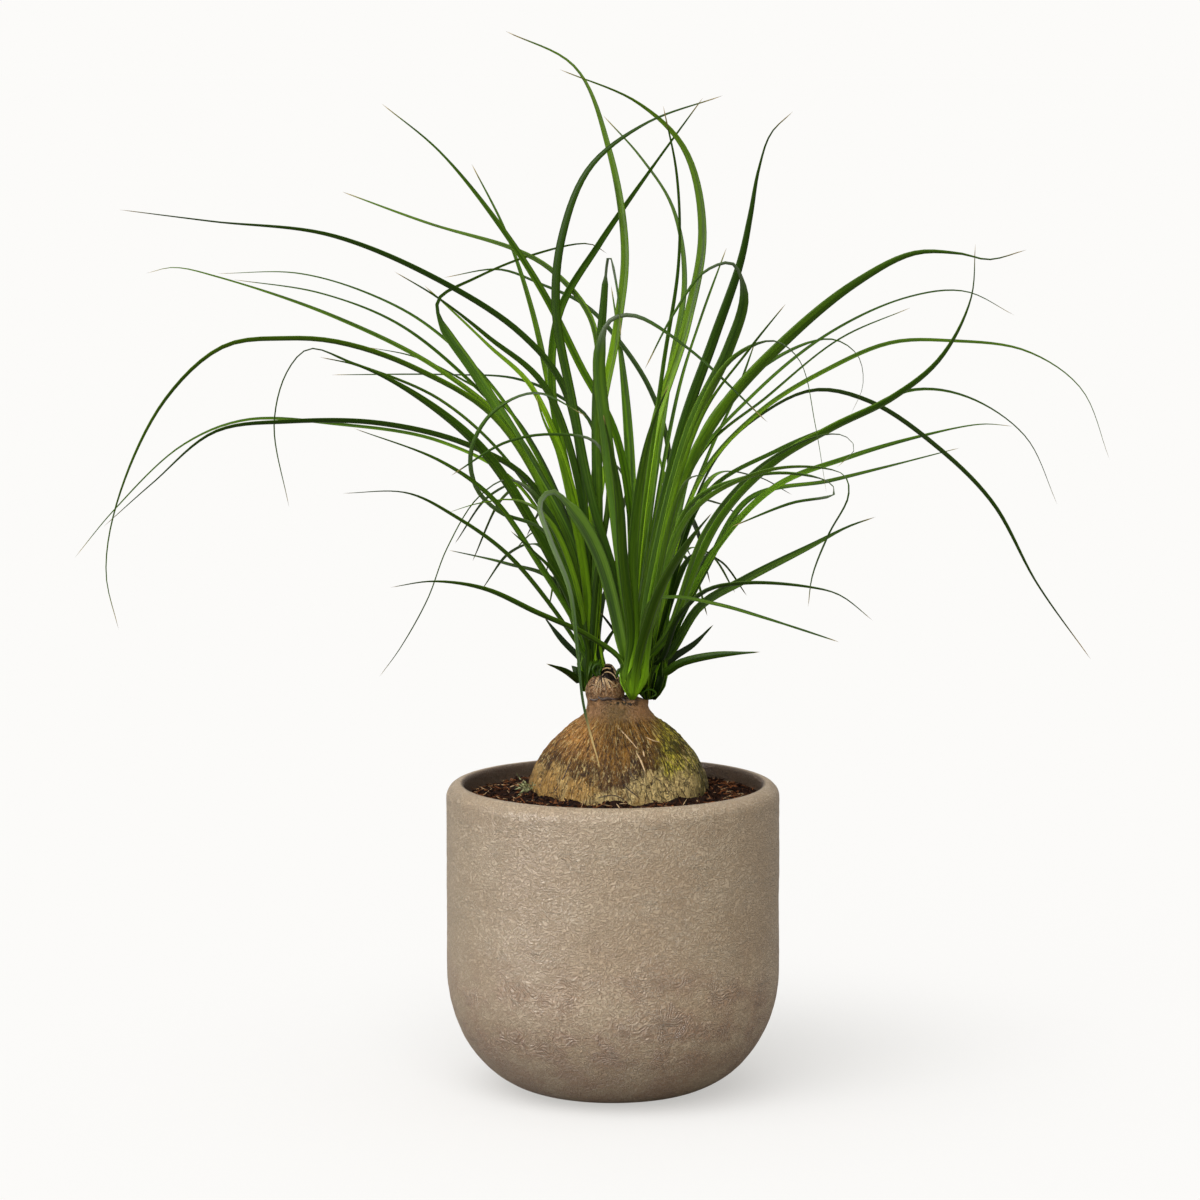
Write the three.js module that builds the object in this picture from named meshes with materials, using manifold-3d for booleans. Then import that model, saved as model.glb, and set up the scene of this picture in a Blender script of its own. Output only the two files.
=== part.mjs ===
// A ponytail palm in a round pot: pot, soil, swollen stem base and three heads of long arching leaves.
// Millimetres, +Z up, the front towards -Y. The origin is the middle of the pot's foot, where it stands.
import * as THREE from 'three';
import { mergeVertices } from 'three/addons/utils/BufferGeometryUtils.js';
import Module from 'manifold-3d';

const wasm = await Module();
wasm.setup();

const GAP = 0.3; // clearance between two pieces that touch
const QUARTER = Math.PI / 2;

// The pot: a straight wall on a quarter-ellipse bowl, with a rolled lip.
const POT = { height: 158, radius: 85, wall: 9, footRadius: 34, bowlHeight: 62, lipOuter: 7, lipInner: 2, sides: 40 };

// The soil: level at the pot's wall, a little higher round the stem base.
const SOIL = { edgeHeight: 149.5, moundHeight: 5, reliefHeight: 1.1, sides: 36 };

// The stem base: a ball sunk halfway in the soil, with a short neck and the knob of an old cut on it.
const CAUDEX = { across: 2.8, centreHeight: 150, radius: 46.5, topRise: 46.7, bottomDrop: 44, sides: 28 };
const NECK = { radius: 15, height: 201 };
const KNOB = { across: -1.8, depth: -2, height: 219, sides: 14 };

// The stub that carries a head leans out of the neck. A head's core is its rolled young leaves, on a narrow foot.
const STUB = { radius: 4.2, drop: 12, inward: 0.45, sides: 12 };
const CORE = { footRadius: 3.6, radius: 5.8, height: 38, sides: 10 };

// A blade: folded along its middle like a shallow gutter, widest before its middle, with a hair-fine tip.
const BLADE = { thickness: 0.9, fold: 0.15, tipWidth: 1.2, widestAt: 0.4, baseShare: 0.75 };
const LONG_SPAN = 60; // a blade whose points lie further apart than this gets a ring between them too

// A blade's root: on a ring inside its head's core, between low down and that much higher.
const ROOT = { ring: 2.6, low: 1.5, stagger: 11 };

// The signature leaves are given as they are seen from the front, from a viewpoint 2.2 m away and 7 degrees up.
const VIEWPOINT = new THREE.Vector3(-6.6, -2182.7, 527.3);
const FRONT = new THREE.Vector3(0, -1, 0);
const UP = new THREE.Vector3(0, 0, 1);

// Where the three heads stand on the neck.
const HEADS = {
  left: new THREE.Vector3(-13.2, 2, 205.5),
  front: new THREE.Vector3(10, -11, 202.2),
  back: new THREE.Vector3(19, 3, 201.4),
};

// One row for each signature leaf: width, depth of its tip behind the root, how far its face turns to the front
// from 0 to 1, and its course as [across, up] on the plane through the pot's axis, from above its root to its tip.
const LEFT_LEAVES = [
  [4.4, -60, 0.45, [-14, 292], [-25, 359], [-46, 386], [-87, 413], [-142, 436], [-201, 443], [-248, 449]],
  [3.4, 110, 0.4, [-20, 272], [-47, 333], [-87, 368], [-140, 395], [-198, 415], [-221, 420], [-235, 417]],
  [2.3, 160, 0.3, [-21, 282], [-55, 352], [-91, 389], [-121, 406], [-158, 417], [-199, 417]],
  [2.7, 60, 0.35, [-22, 272], [-51, 338], [-77, 367], [-109, 392], [-147, 407], [-191, 414]],
  [2.2, 190, 0.3, [-20, 282], [-51, 346], [-77, 364], [-100, 375], [-124, 380]],
  [4.4, -110, 0.45, [-19, 262], [-57, 341], [-100, 369], [-138, 382], [-165, 384], [-196, 380], [-226, 353],
    [-250, 304], [-257, 266], [-251, 236]],
  [2.7, -35, 0.4, [-21, 264], [-50, 318], [-87, 353], [-132, 372], [-153, 379], [-164, 368], [-171, 341], [-164, 299]],
  [5.8, -90, 0.6, [-18, 241], [-46, 299], [-69, 331], [-100, 356], [-127, 370], [-148, 375]],
  [4.8, -60, 0.45, [-17, 252], [-42, 311], [-73, 330], [-117, 341], [-164, 342], [-201, 337], [-233, 311], [-258, 289]],
  [2.7, 25, 0.4, [-19, 252], [-47, 309], [-87, 332], [-140, 341], [-186, 343], [-218, 330], [-252, 298], [-273, 273]],
  [3.7, -85, 0.4, [-16, 231], [-38, 270], [-61, 303], [-87, 322], [-131, 339]],
  [3.1, -120, 0.4, [-15, 223], [-35, 253], [-55, 276], [-80, 294], [-104, 306], [-137, 306]],
  [3.7, -88, 0.5, [-17, 252], [-33, 296], [-52, 313], [-68, 304], [-84, 278], [-94, 252], [-108, 227], [-119, 212]],
  [3.1, 80, 0.4, [-12, 282], [-7, 353], [-11, 394], [-30, 418], [-49, 429], [-92, 442], [-136, 458]],
  [3.4, 120, 0.5, [-18, 282], [-30, 348], [-41, 399], [-54, 438], [-71, 472]],
  [4.4, 70, 0.5, [-17, 282], [-31, 361], [-27, 398], [-7, 432], [18, 468], [45, 505]],
  [4.1, -30, 0.4, [-13, 282], [-34, 359], [-63, 385], [-87, 404], [-110, 418]],
  [3.4, 40, 0.4, [-15, 282], [-40, 358], [-63, 381], [-85, 402], [-95, 411]],
  [6.1, 60, 0.6, [-18, 272], [-44, 325], [-70, 367], [-87, 393], [-88, 404], [-69, 415], [-42, 426], [-12, 432], [-3, 427]],
  [3.4, -85, 0.5, [-15, 241], [-36, 287], [-57, 296], [-69, 308], [-72, 327], [-61, 347], [-39, 357], [-13, 345]],
  [3.1, -60, 0.5, [-9, 257], [-2, 313], [-9, 332], [-30, 336], [-54, 332], [-82, 315]],
  [3.1, -50, 0.4, [-15, 241], [-31, 290], [-47, 302], [-67, 301], [-84, 296]],
  [4.8, -40, 0.6, [-13, 252], [-27, 325], [-35, 343], [-39, 356]],
  [3.4, 150, 0.4, [-13, 226], [-30, 261], [-54, 270], [-83, 277]],
  [2.7, -60, 0.4, [-13, 226], [-29, 264], [-40, 276], [-52, 287]],
  [3.7, 60, 0.4, [-14, 217], [-26, 231], [-35, 243]],
  [2.7, 120, 0.4, [-15, 231], [-29, 257], [-42, 278], [-55, 298]],
  [3.7, -30, 0.9, [-15, 209], [-24, 215], [-34, 219]],
  [2.4, 130, 0.3, [-8, 272], [-11, 341], [-27, 355], [-49, 364], [-82, 366], [-142, 366]],
  [4.6, 60, 0.6, [-7, 262], [-7, 338], [2, 389], [6, 429], [-2, 479], [-19, 520], [-54, 538]],
  [5.4, -60, 0.6, [-8, 272], [-8, 353], [-5, 399], [-2, 426], [2, 409], [4, 384]],
  [2.7, 30, 0.4, [-6, 225], [-1, 234], [5, 242]],
  [3.4, 90, 0.4, [-8, 231], [-5, 252], [0, 267]],
];
const FRONT_LEAVES = [
  [4.1, -75, 0.5, [4, 220], [-13, 233], [-39, 245], [-65, 257], [-91, 261], [-113, 258]],
  [7, -60, 0.7, [4, 231], [-7, 274], [-20, 297], [-31, 307], [-37, 301], [-32, 283], [-22, 257], [-18, 226],
    [-15, 198], [-6, 163]],
  [6.6, -60, 0.8, [8, 231], [2, 289], [-4, 338], [-7, 376], [-2, 393], [10, 396], [37, 380], [78, 342]],
  [4.4, 40, 0.5, [11, 252], [2, 333], [-17, 371], [-34, 405], [-57, 441], [-87, 478], [-116, 502]],
  [5.1, -45, 0.6, [5, 246], [-11, 303], [-21, 353], [-29, 399], [-26, 435], [-12, 470], [16, 492], [55, 506]],
  [5.4, 20, 0.7, [11, 252], [21, 338], [37, 391], [45, 439], [36, 479], [13, 502], [-27, 519]],
  [3.4, 90, 0.5, [14, 262], [28, 363], [36, 414], [30, 450], [14, 475], [-5, 496]],
  [2.3, -50, 0.4, [12, 262], [25, 368], [33, 423], [32, 466], [25, 501]],
  [5.8, -30, 0.65, [16, 252], [35, 338], [51, 384], [64, 422], [69, 446], [73, 469], [79, 487], [90, 498]],
  [6.2, -110, 0.7, [18, 252], [39, 338], [58, 378], [66, 406], [60, 422], [46, 418], [30, 396], [16, 369]],
  [5.4, 110, 0.7, [10, 241], [9, 313], [6, 358], [2, 391], [-1, 411]],
  [5.1, -130, 0.7, [11, 231], [10, 272], [14, 313], [20, 341], [28, 361]],
  [5.1, -120, 0.7, [9, 231], [5, 272], [3, 303], [-1, 328], [-5, 346]],
  [5.1, 90, 0.7, [12, 241], [16, 282], [21, 318], [25, 343], [26, 361]],
  [6.4, -40, 0.65, [18, 241], [34, 308], [55, 348], [89, 385], [122, 412], [151, 427], [174, 427], [189, 424], [208, 429]],
  [2.4, 60, 0.4, [20, 252], [39, 318], [72, 357], [109, 387], [148, 405], [177, 408], [202, 396]],
  [2.3, 45, 0.35, [20, 252], [44, 325], [78, 355], [114, 384], [150, 400]],
  [3.1, -120, 0.5, [19, 252], [41, 341], [60, 374], [81, 383], [94, 373], [102, 341], [108, 306]],
  [2.3, -90, 0.4, [19, 252], [44, 343], [68, 378], [87, 402]],
  [2.2, 90, 0.4, [16, 262], [33, 358], [44, 394], [57, 430]],
  [4.1, -100, 0.5, [14, 231], [19, 250], [30, 253], [54, 249], [78, 242], [115, 230]],
  [4.4, -150, 0.3, [19, 236], [39, 295], [74, 316], [102, 319], [117, 315], [119, 305], [109, 285], [101, 264], [99, 248]],
  [3.1, -120, 0.5, [19, 236], [39, 300], [64, 313], [89, 316], [110, 311], [112, 306], [90, 301], [60, 289]],
  [3.1, -100, 0.4, [21, 252], [36, 311], [43, 315], [52, 313]],
  [5.1, -140, 0.6, [14, 226], [24, 257], [39, 282], [50, 296]],
];
const BACK_LEAVES = [
  [2.7, 130, 0.4, [26, 262], [28, 328], [19, 358], [3, 383], [-14, 401], [-37, 412], [-57, 419], [-85, 415]],
  [3.4, 60, 0.4, [26, 252], [44, 313], [74, 347], [109, 369], [140, 382], [170, 383], [208, 378], [236, 359], [251, 323]],
  [6.3, -20, 0.5, [27, 231], [54, 292], [81, 321], [111, 339], [141, 354], [165, 374], [180, 404], [182, 432]],
  [3.1, 60, 0.4, [26, 241], [47, 305], [84, 328], [119, 343], [150, 358], [178, 355], [208, 335], [225, 300]],
  [4.1, 110, 0.4, [26, 252], [52, 323], [77, 347], [102, 358], [130, 352], [164, 329], [192, 301], [215, 260], [243, 221]],
  [4.1, 130, 0.4, [28, 231], [54, 280], [82, 309], [119, 324], [156, 335], [186, 341], [202, 340]],
  [3.7, 170, 0.4, [28, 226], [47, 267], [69, 303], [109, 312], [133, 318], [175, 329]],
  [4.8, 30, 0.7, [28, 223], [44, 248], [67, 262], [100, 279], [119, 289], [133, 294]],
  [3.7, -60, 0.5, [25, 221], [33, 242], [47, 256], [67, 260], [100, 258], [115, 254], [132, 241]],
  [3.1, 40, 0.4, [26, 252], [46, 338], [77, 371], [109, 384], [123, 376], [126, 361], [120, 346]],
  [3.1, -90, 0.4, [28, 236], [47, 287], [74, 319], [104, 335], [117, 335], [122, 329], [113, 319]],
  [2.2, 150, 0.4, [26, 262], [48, 325], [62, 356], [72, 384]],
  [3.7, 60, 0.9, [25, 217], [32, 223], [41, 229], [51, 239]],
  [4.4, -40, 0.9, [24, 213], [34, 219], [50, 223], [75, 225]],
  [4.1, 130, 0.4, [25, 217], [32, 231], [42, 245], [51, 254]],
  [4.4, 160, 0.4, [26, 221], [35, 252], [47, 272], [64, 292]],
  [2.7, 40, 0.4, [14, 215], [4, 231], [-7, 246]],
  [4.8, 170, 0.5, [26, 241], [28, 282], [26, 313], [21, 333]],
];

// The leaves that the front view doesn't show one by one: fans of arching leaves between two bearings, in
// degrees from +X towards +Y, with the least and greatest reach, rise above the root, and fall of the tip.
const LEFT_FANS = [
  { count: 6, bearing: [82, 116], reach: [150, 205], rise: [88, 125], fall: [20, 60] },
  { count: 5, bearing: [86, 118], reach: [100, 145], rise: [62, 88], fall: [20, 50] },
];
const BACK_FANS = [
  { count: 6, bearing: [64, 98], reach: [150, 210], rise: [88, 125], fall: [20, 60] },
  { count: 5, bearing: [58, 88], reach: [100, 145], rise: [62, 88], fall: [20, 50] },
];
const FAN_SEED = 1807;
const FAN_COURSE = [[0.14, 0.5], [0.4, 0.93], [0.72, 0.96], [1, 1]]; // share of reach, share of rise

/** A seeded draw between two numbers. */
function makeDraw(seed) {
  let state = seed;
  return (low, high) => {
    state = (state * 48271) % 2147483647;
    return low + ((high - low) * state) / 2147483647;
  };
}

/** Points of an elliptical arc round (x, z), both ends included, for a lathe profile. */
function arc(x, z, radiusX, radiusZ, from, to, steps) {
  return Array.from({ length: steps + 1 }, (_, i) => {
    const angle = from + ((to - from) * i) / steps;
    return new THREE.Vector2(x + radiusX * Math.cos(angle), z + radiusZ * Math.sin(angle));
  });
}

/** A turned body round +Z from a profile that runs from its lowest point on the axis to its highest. */
function turned(profile, sides) {
  return new THREE.LatheGeometry(profile, sides).rotateX(QUARTER);
}

/** A closed geometry as a solid that can be joined and cut. */
function toSolid(geometry) {
  geometry.deleteAttribute('normal');
  geometry.deleteAttribute('uv');
  const merged = mergeVertices(geometry, 1e-3);
  const corners = merged.index.array;
  const triVerts = [];
  for (let i = 0; i < corners.length; i += 3) {
    const [a, b, c] = corners.slice(i, i + 3);
    if (a !== b && b !== c && c !== a) triVerts.push(a, b, c);
  }
  const vertProperties = new Float32Array(merged.attributes.position.array);
  return new wasm.Manifold(new wasm.Mesh({ numProp: 3, vertProperties, triVerts: new Uint32Array(triVerts) }));
}

/** A solid's outside as a geometry. */
function toGeometry(solid) {
  const { vertProperties, triVerts } = solid.getMesh();
  const geometry = new THREE.BufferGeometry();
  geometry.setAttribute('position', new THREE.BufferAttribute(vertProperties, 3));
  geometry.setIndex(new THREE.BufferAttribute(triVerts, 1));
  return geometry;
}

/** Joins solids into one body: small hollows between them are filled. */
function fuse(solids) {
  const joined = solids.reduce((sum, solid) => sum.add(solid)).simplify(0.02);
  return joined.decompose().reduce((best, part) => (part.volume() > best.volume() ? part : best));
}

const group = new THREE.Group();

function addPiece(name, geometry, color, roughness) {
  geometry.computeVertexNormals();
  const material = new THREE.MeshStandardMaterial({ color, roughness, metalness: 0 });
  const mesh = new THREE.Mesh(geometry, material);
  mesh.name = name;
  group.add(mesh);
}

// ---- Pot

function potBowl(radius, floor, from, to, steps) {
  return arc(POT.footRadius, POT.bowlHeight, radius - POT.footRadius, POT.bowlHeight - floor, from, to, steps);
}

function makePot() {
  const { height, radius, wall, lipOuter, lipInner, sides } = POT;
  const inside = radius - wall;
  const profile = [
    new THREE.Vector2(0, 0),
    ...potBowl(radius, 0, -QUARTER, 0, 8),
    ...arc(radius - lipOuter, height - lipOuter, lipOuter, lipOuter, 0, QUARTER, 4),
    ...arc(inside + lipInner, height - lipInner, lipInner, lipInner, QUARTER, 2 * QUARTER, 2).slice(1),
    ...potBowl(inside, wall, 0, -QUARTER, 6),
    new THREE.Vector2(0, wall),
  ];
  return turned(profile, sides);
}

// ---- Stem base

function caudexProfile(clearance) {
  const { centreHeight, radius, topRise, bottomDrop } = CAUDEX;
  const shoulder = 1.17; // the angle at which the ball runs out into the neck
  return [
    ...arc(0, centreHeight, radius + clearance, bottomDrop + clearance, -QUARTER, 0, 7),
    ...arc(0, centreHeight, radius + clearance, topRise + clearance, 0, shoulder, 9).slice(1),
    new THREE.Vector2(NECK.radius + 1, NECK.height - 5.5),
    new THREE.Vector2(NECK.radius, NECK.height - 3),
    new THREE.Vector2(NECK.radius - 2, NECK.height - 0.5),
    new THREE.Vector2(0, NECK.height + 0.5),
  ];
}

function makeKnob() {
  const { across, depth, height, sides } = KNOB;
  const profile = [
    new THREE.Vector2(0, NECK.height - 10),
    new THREE.Vector2(9, NECK.height - 10),
    new THREE.Vector2(8.2, NECK.height + 2),
    new THREE.Vector2(6.4, NECK.height + 7),
    ...arc(0, height - 6, 5, 6, 0, QUARTER, 4),
  ];
  return toSolid(turned(profile, sides).translate(across, depth, 0));
}

function makeStub(root) {
  const { radius, drop, inward, sides } = STUB;
  const profile = [
    new THREE.Vector2(0, -drop),
    new THREE.Vector2(radius + 1, -drop),
    new THREE.Vector2(radius + 0.6, -4),
    new THREE.Vector2(radius, -1),
    new THREE.Vector2(radius - 1, 0),
    new THREE.Vector2(0, 0),
  ];
  const lean = new THREE.Matrix4().makeShear(0, 0, 0, 0, ((root.x - CAUDEX.across) * inward) / drop, 0);
  lean.elements[9] = (root.y * inward) / drop;
  return toSolid(turned(profile, sides).applyMatrix4(lean).translate(root.x, root.y, root.z - GAP));
}

function makeCaudex() {
  const ball = toSolid(turned(caudexProfile(0), CAUDEX.sides).translate(CAUDEX.across, 0, 0));
  return toGeometry(fuse([ball, makeKnob(), ...Object.values(HEADS).map(makeStub)]));
}

// ---- Soil

/** How far the soil stands above its level at the wall: a mound round the stem base, and crumbs. */
function soilRelief(x, y) {
  const distance = Math.hypot(x - CAUDEX.across, y);
  const edge = POT.radius - POT.wall;
  const nearStem = THREE.MathUtils.clamp((edge - distance) / (edge - CAUDEX.radius), 0, 1);
  const crumbs = Math.sin(x * 0.31 + 1.3) * Math.cos(y * 0.27) + Math.sin(x * 0.17 - y * 0.43);
  return SOIL.moundHeight * nearStem ** 1.5 + SOIL.reliefHeight * crumbs * Math.min(1, nearStem * 4);
}

function makeSoil() {
  const edge = POT.radius - POT.wall - GAP;
  const topRings = [edge, edge - 6, edge - 13, edge - 20, edge - 27, edge - 36];
  const profile = [
    new THREE.Vector2(0, POT.wall + GAP),
    ...potBowl(edge, POT.wall + GAP, -QUARTER, 0, 6),
    ...topRings.map((radius) => new THREE.Vector2(radius, SOIL.edgeHeight)),
    new THREE.Vector2(0, SOIL.edgeHeight),
  ];
  const body = turned(profile, SOIL.sides);
  const points = body.attributes.position;
  for (let i = 0; i < points.count; i += 1) {
    const isTop = points.getZ(i) > SOIL.edgeHeight - 0.01;
    if (isTop) points.setZ(i, SOIL.edgeHeight + soilRelief(points.getX(i), points.getY(i)));
  }
  const socket = toSolid(turned(caudexProfile(GAP), CAUDEX.sides).translate(CAUDEX.across, 0, 0));
  return toGeometry(toSolid(body).subtract(socket));
}

// ---- Leaves

/** The point at a given depth that the front view shows at (across, up). */
function seenAt(across, up, depth) {
  const onPlane = new THREE.Vector3(across, 0, up);
  const sight = onPlane.clone().sub(VIEWPOINT);
  return onPlane.addScaledVector(sight, depth / sight.y);
}

/** The course of a signature leaf in space. Its depth grows along it as a bent-over leaf's does. */
function signatureCourse(head, depth, seen) {
  const lengths = [0];
  let previous = new THREE.Vector2(head.x, head.z);
  for (const [across, up] of seen) {
    const next = new THREE.Vector2(across, up);
    lengths.push(lengths.at(-1) + next.distanceTo(previous));
    previous = next;
  }
  return seen.map(([across, up], i) => {
    const share = lengths[i + 1] / lengths.at(-1);
    return seenAt(across, up, head.y + depth * share ** 1.4);
  });
}

/** The course of one leaf of a fan, in the upright plane of its bearing. */
function fanCourse(head, bearing, reach, rise, fall) {
  return FAN_COURSE.map(([out, high], i) => {
    const height = rise * high - (i === FAN_COURSE.length - 1 ? fall : fall * 0.25 * Math.max(0, i - 1));
    const x = head.x + reach * out * Math.cos(bearing);
    const y = head.y + reach * out * Math.sin(bearing);
    return new THREE.Vector3(x, y, head.z + height);
  });
}

/** How wide a blade is at a share of its length, as a share of its greatest width. */
function widthShare(along) {
  const { widestAt, baseShare } = BLADE;
  if (along < widestAt) return baseShare + (1 - baseShare) * Math.sin((QUARTER * along) / widestAt);
  return (1 - ((along - widestAt) / (1 - widestAt)) ** 3) ** 1.7;
}

/** A blade along a course: rings of four corners, left edge, keel, right edge and groove, and a pointed tip. */
function makeBlade(course, width, facing) {
  const curve = new THREE.CatmullRomCurve3(course, false, 'centripetal');
  const spans = course.length - 1;
  const steps = curve.getLength() > LONG_SPAN * spans ? 2 * spans : spans;
  const points = curve.getPoints(steps);
  const reached = points.map((_, i) => points.slice(1, i + 1).reduce((sum, p, k) => sum + p.distanceTo(points[k]), 0));
  const middle = points[Math.round(steps / 2)];
  const outward = middle.clone().sub(points[0]).setZ(0).normalize();
  const level = outward.clone().cross(UP);
  const side = curve.getTangentAt(0.5).cross(FRONT).dot(level) < 0 ? -1 : 1;

  const corners = [];
  for (let i = 0; i < steps; i += 1) {
    const along = reached[i] / reached[steps];
    const turn = facing * THREE.MathUtils.smoothstep(along, 0, 0.3);
    const tangent = curve.getTangent(i / steps);
    const shown = tangent.clone().cross(FRONT).multiplyScalar(side * turn);
    const across = level.clone().addScaledVector(tangent, -level.dot(tangent)).multiplyScalar(1 - turn).add(shown);
    across.normalize();
    const face = across.clone().cross(tangent);
    const bladeWidth = Math.max(width * widthShare(along), BLADE.tipWidth);
    const lift = BLADE.fold * bladeWidth;
    const place = (sideways, high) => points[i].clone().addScaledVector(across, sideways).addScaledVector(face, high);
    corners.push(place(-bladeWidth / 2, lift), place(0, -BLADE.thickness / 2));
    corners.push(place(bladeWidth / 2, lift), place(0, BLADE.thickness / 2));
  }
  corners.push(points.at(-1));

  const tip = corners.length - 1;
  const index = [0, 1, 2, 0, 2, 3];
  for (let ring = 0; ring < tip; ring += 4) {
    const next = ring + 4;
    for (let k = 0; k < 4; k += 1) {
      const [a, b, c, d] = [ring + k, ring + ((k + 1) % 4), next + k, next + ((k + 1) % 4)];
      if (next === tip) index.push(a, tip, b);
      else if (k < 2) index.push(a, c, b, b, c, d);
      else index.push(a, c, d, a, d, b); // split like the face under it, so that a twist can't press one through the other
    }
  }
  const geometry = new THREE.BufferGeometry().setFromPoints(corners);
  geometry.setIndex(index);
  return toSolid(geometry);
}

/** The rolled young leaves in the middle of a head. */
function makeCore(head) {
  const { footRadius, radius, height, sides } = CORE;
  const profile = [
    new THREE.Vector2(0, 0),
    new THREE.Vector2(footRadius, 0),
    new THREE.Vector2(radius - 0.6, 4),
    new THREE.Vector2(radius, 9),
    new THREE.Vector2(radius - 1, 17),
    new THREE.Vector2(radius - 3, 28),
    new THREE.Vector2(0, height),
  ];
  return toSolid(turned(profile, sides).translate(head.x, head.y, head.z));
}

/** A leaf's root: on a small ring inside the core, each a little higher or lower than the one before it. */
function leafRoot(head, course, order) {
  const outward = course[0].clone().lerp(course[1], 0.5).sub(head).setZ(0).normalize();
  const height = ROOT.low + ROOT.stagger * ((order * 0.618) % 1);
  return head.clone().addScaledVector(outward, ROOT.ring).addScaledVector(UP, height);
}

function makeHead(head, signatureLeaves, fans) {
  const leaves = signatureLeaves.map(([width, depth, facing, ...seen]) => (
    { width, facing, course: signatureCourse(head, depth, seen) }
  ));
  const draw = makeDraw(FAN_SEED);
  for (const { count, bearing, reach, rise, fall } of fans) {
    const step = (bearing[1] - bearing[0]) / count;
    for (let i = 0; i < count; i += 1) {
      const angle = THREE.MathUtils.degToRad(bearing[0] + step * (i + draw(0.2, 0.8)));
      const course = fanCourse(head, angle, draw(...reach), draw(...rise), draw(...fall));
      leaves.push({ width: draw(3.2, 5.2), facing: 0, course });
    }
  }
  const blades = leaves.map(({ width, facing, course }, order) => (
    makeBlade([leafRoot(head, course, order), ...course], width, facing)
  ));
  return toGeometry(fuse([makeCore(head), ...blades]));
}

addPiece('pot', makePot(), '#9b8a78', 0.75);
addPiece('soil', makeSoil(), '#35231a', 0.95);
addPiece('caudex', makeCaudex(), '#7d5c36', 0.85);
addPiece('left_head_leaves', makeHead(HEADS.left, LEFT_LEAVES, LEFT_FANS), '#47701f', 0.5);
addPiece('front_head_leaves', makeHead(HEADS.front, FRONT_LEAVES, []), '#4a7421', 0.5);
addPiece('back_head_leaves', makeHead(HEADS.back, BACK_LEAVES, BACK_FANS), '#3c631c', 0.5);

export default group;
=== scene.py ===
import math

import bpy
import numpy as np
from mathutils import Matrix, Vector, noise
from mathutils.bvhtree import BVHTree


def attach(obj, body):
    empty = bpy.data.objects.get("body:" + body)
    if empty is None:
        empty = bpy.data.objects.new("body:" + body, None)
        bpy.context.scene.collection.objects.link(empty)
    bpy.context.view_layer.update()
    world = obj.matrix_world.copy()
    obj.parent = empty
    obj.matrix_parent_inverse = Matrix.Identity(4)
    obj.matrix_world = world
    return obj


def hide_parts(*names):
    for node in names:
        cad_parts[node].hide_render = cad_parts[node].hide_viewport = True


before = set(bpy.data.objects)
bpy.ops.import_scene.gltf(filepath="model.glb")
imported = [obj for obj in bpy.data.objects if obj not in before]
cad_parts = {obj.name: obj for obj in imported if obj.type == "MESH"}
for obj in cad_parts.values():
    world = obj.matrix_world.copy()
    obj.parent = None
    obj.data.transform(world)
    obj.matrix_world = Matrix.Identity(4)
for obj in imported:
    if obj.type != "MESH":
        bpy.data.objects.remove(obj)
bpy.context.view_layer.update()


# ---- Camera
# The photograph's view: a long lens 2.2 m in front of the plant and seven degrees above the level.
# Every length in this file is in millimetres until it goes into a mesh, a light or the camera.

viewpoint = np.array((-6.6, -2182.7, 527.3))
aimed_at = np.array((-6.6, 0.0, 251.6))
scene = bpy.context.scene


def add_object(name, data):
    made = bpy.data.objects.new(name, data)
    scene.collection.objects.link(made)
    return made


camera_data = bpy.data.cameras.new("camera")
camera_data.sensor_fit = "HORIZONTAL"
camera_data.sensor_width = 36
camera_data.lens = 130.05
camera_data.clip_end = 200
camera = add_object("camera", camera_data)
camera.location = viewpoint / 1000
camera.rotation_euler = Vector(aimed_at - viewpoint).to_track_quat("-Z", "Y").to_euler()
scene.camera = camera


# ---- Pot
# A moulded round pot: a straight wall on a bowl-shaped foot, with a rolled lip. The body is matte, taupe and
# through-coloured, and its outside has the fine wrinkles of a plaster that was pressed while it was wet.

pot_height = 158
pot_radius = 85
pot_wall = 9
foot_radius = 34
bowl_height = 62
lip_radius = 7
inner_lip_radius = 2
pot_taupe = "#b7a286"
pot_shade = "#a58e72"
pot_rose = "#98765d"
pot_pale_and_highlight = "#c4b7a3"
pot_painted_shade = "#6d5a46"
pot_inside_stain_and_shade = "#5f4c3a"


def linear(colour):
    """A colour written as #rrggbb, as Blender's linear red, green and blue, and an alpha of 1."""
    parts = [int(colour[i : i + 2], 16) / 255 for i in (1, 3, 5)]
    return [p / 12.92 if p <= 0.04045 else ((p + 0.055) / 1.055) ** 2.4 for p in parts] + [1.0]


def arc(across, height, radius_across, radius_up, start, end, steps):
    """Points of an elliptical arc, both ends included. The angles are in degrees."""
    angles = np.radians(np.linspace(start, end, steps + 1))
    return np.stack([across + radius_across * np.cos(angles), height + radius_up * np.sin(angles)], 1)


def round_rings(profile, columns, centre=(0, 0)):
    """Level rings of points, one for each radius and height of the profile."""
    angles = np.linspace(0, math.tau, columns, endpoint=False)
    radius, height = np.array(profile, float).T[:, :, None]
    x, y = centre[0] + radius * np.cos(angles), centre[1] + radius * np.sin(angles)
    return np.stack(np.broadcast_arrays(x, y, height), -1).reshape(-1, 3)


def ring_faces(rows, columns):
    """Each ring's corners, the corners beside them, and the four-sided faces between the rings."""
    corner = np.arange(rows * columns).reshape(rows, columns)
    beside = np.roll(corner, -1, 1)
    faces = np.stack([corner[:-1], beside[:-1], beside[1:], corner[1:]], -1).reshape(-1, 4).tolist()
    return corner, beside, faces


def closed_faces(rows, columns):
    """The faces of rings that two last points close, one under the first ring and one on the last."""
    corner, beside, faces = ring_faces(rows, columns)
    faces += [(corner.size, b, a) for a, b in zip(corner[0], beside[0])]
    return faces + [(corner.size + 1, a, b) for a, b in zip(corner[-1], beside[-1])]


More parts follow.
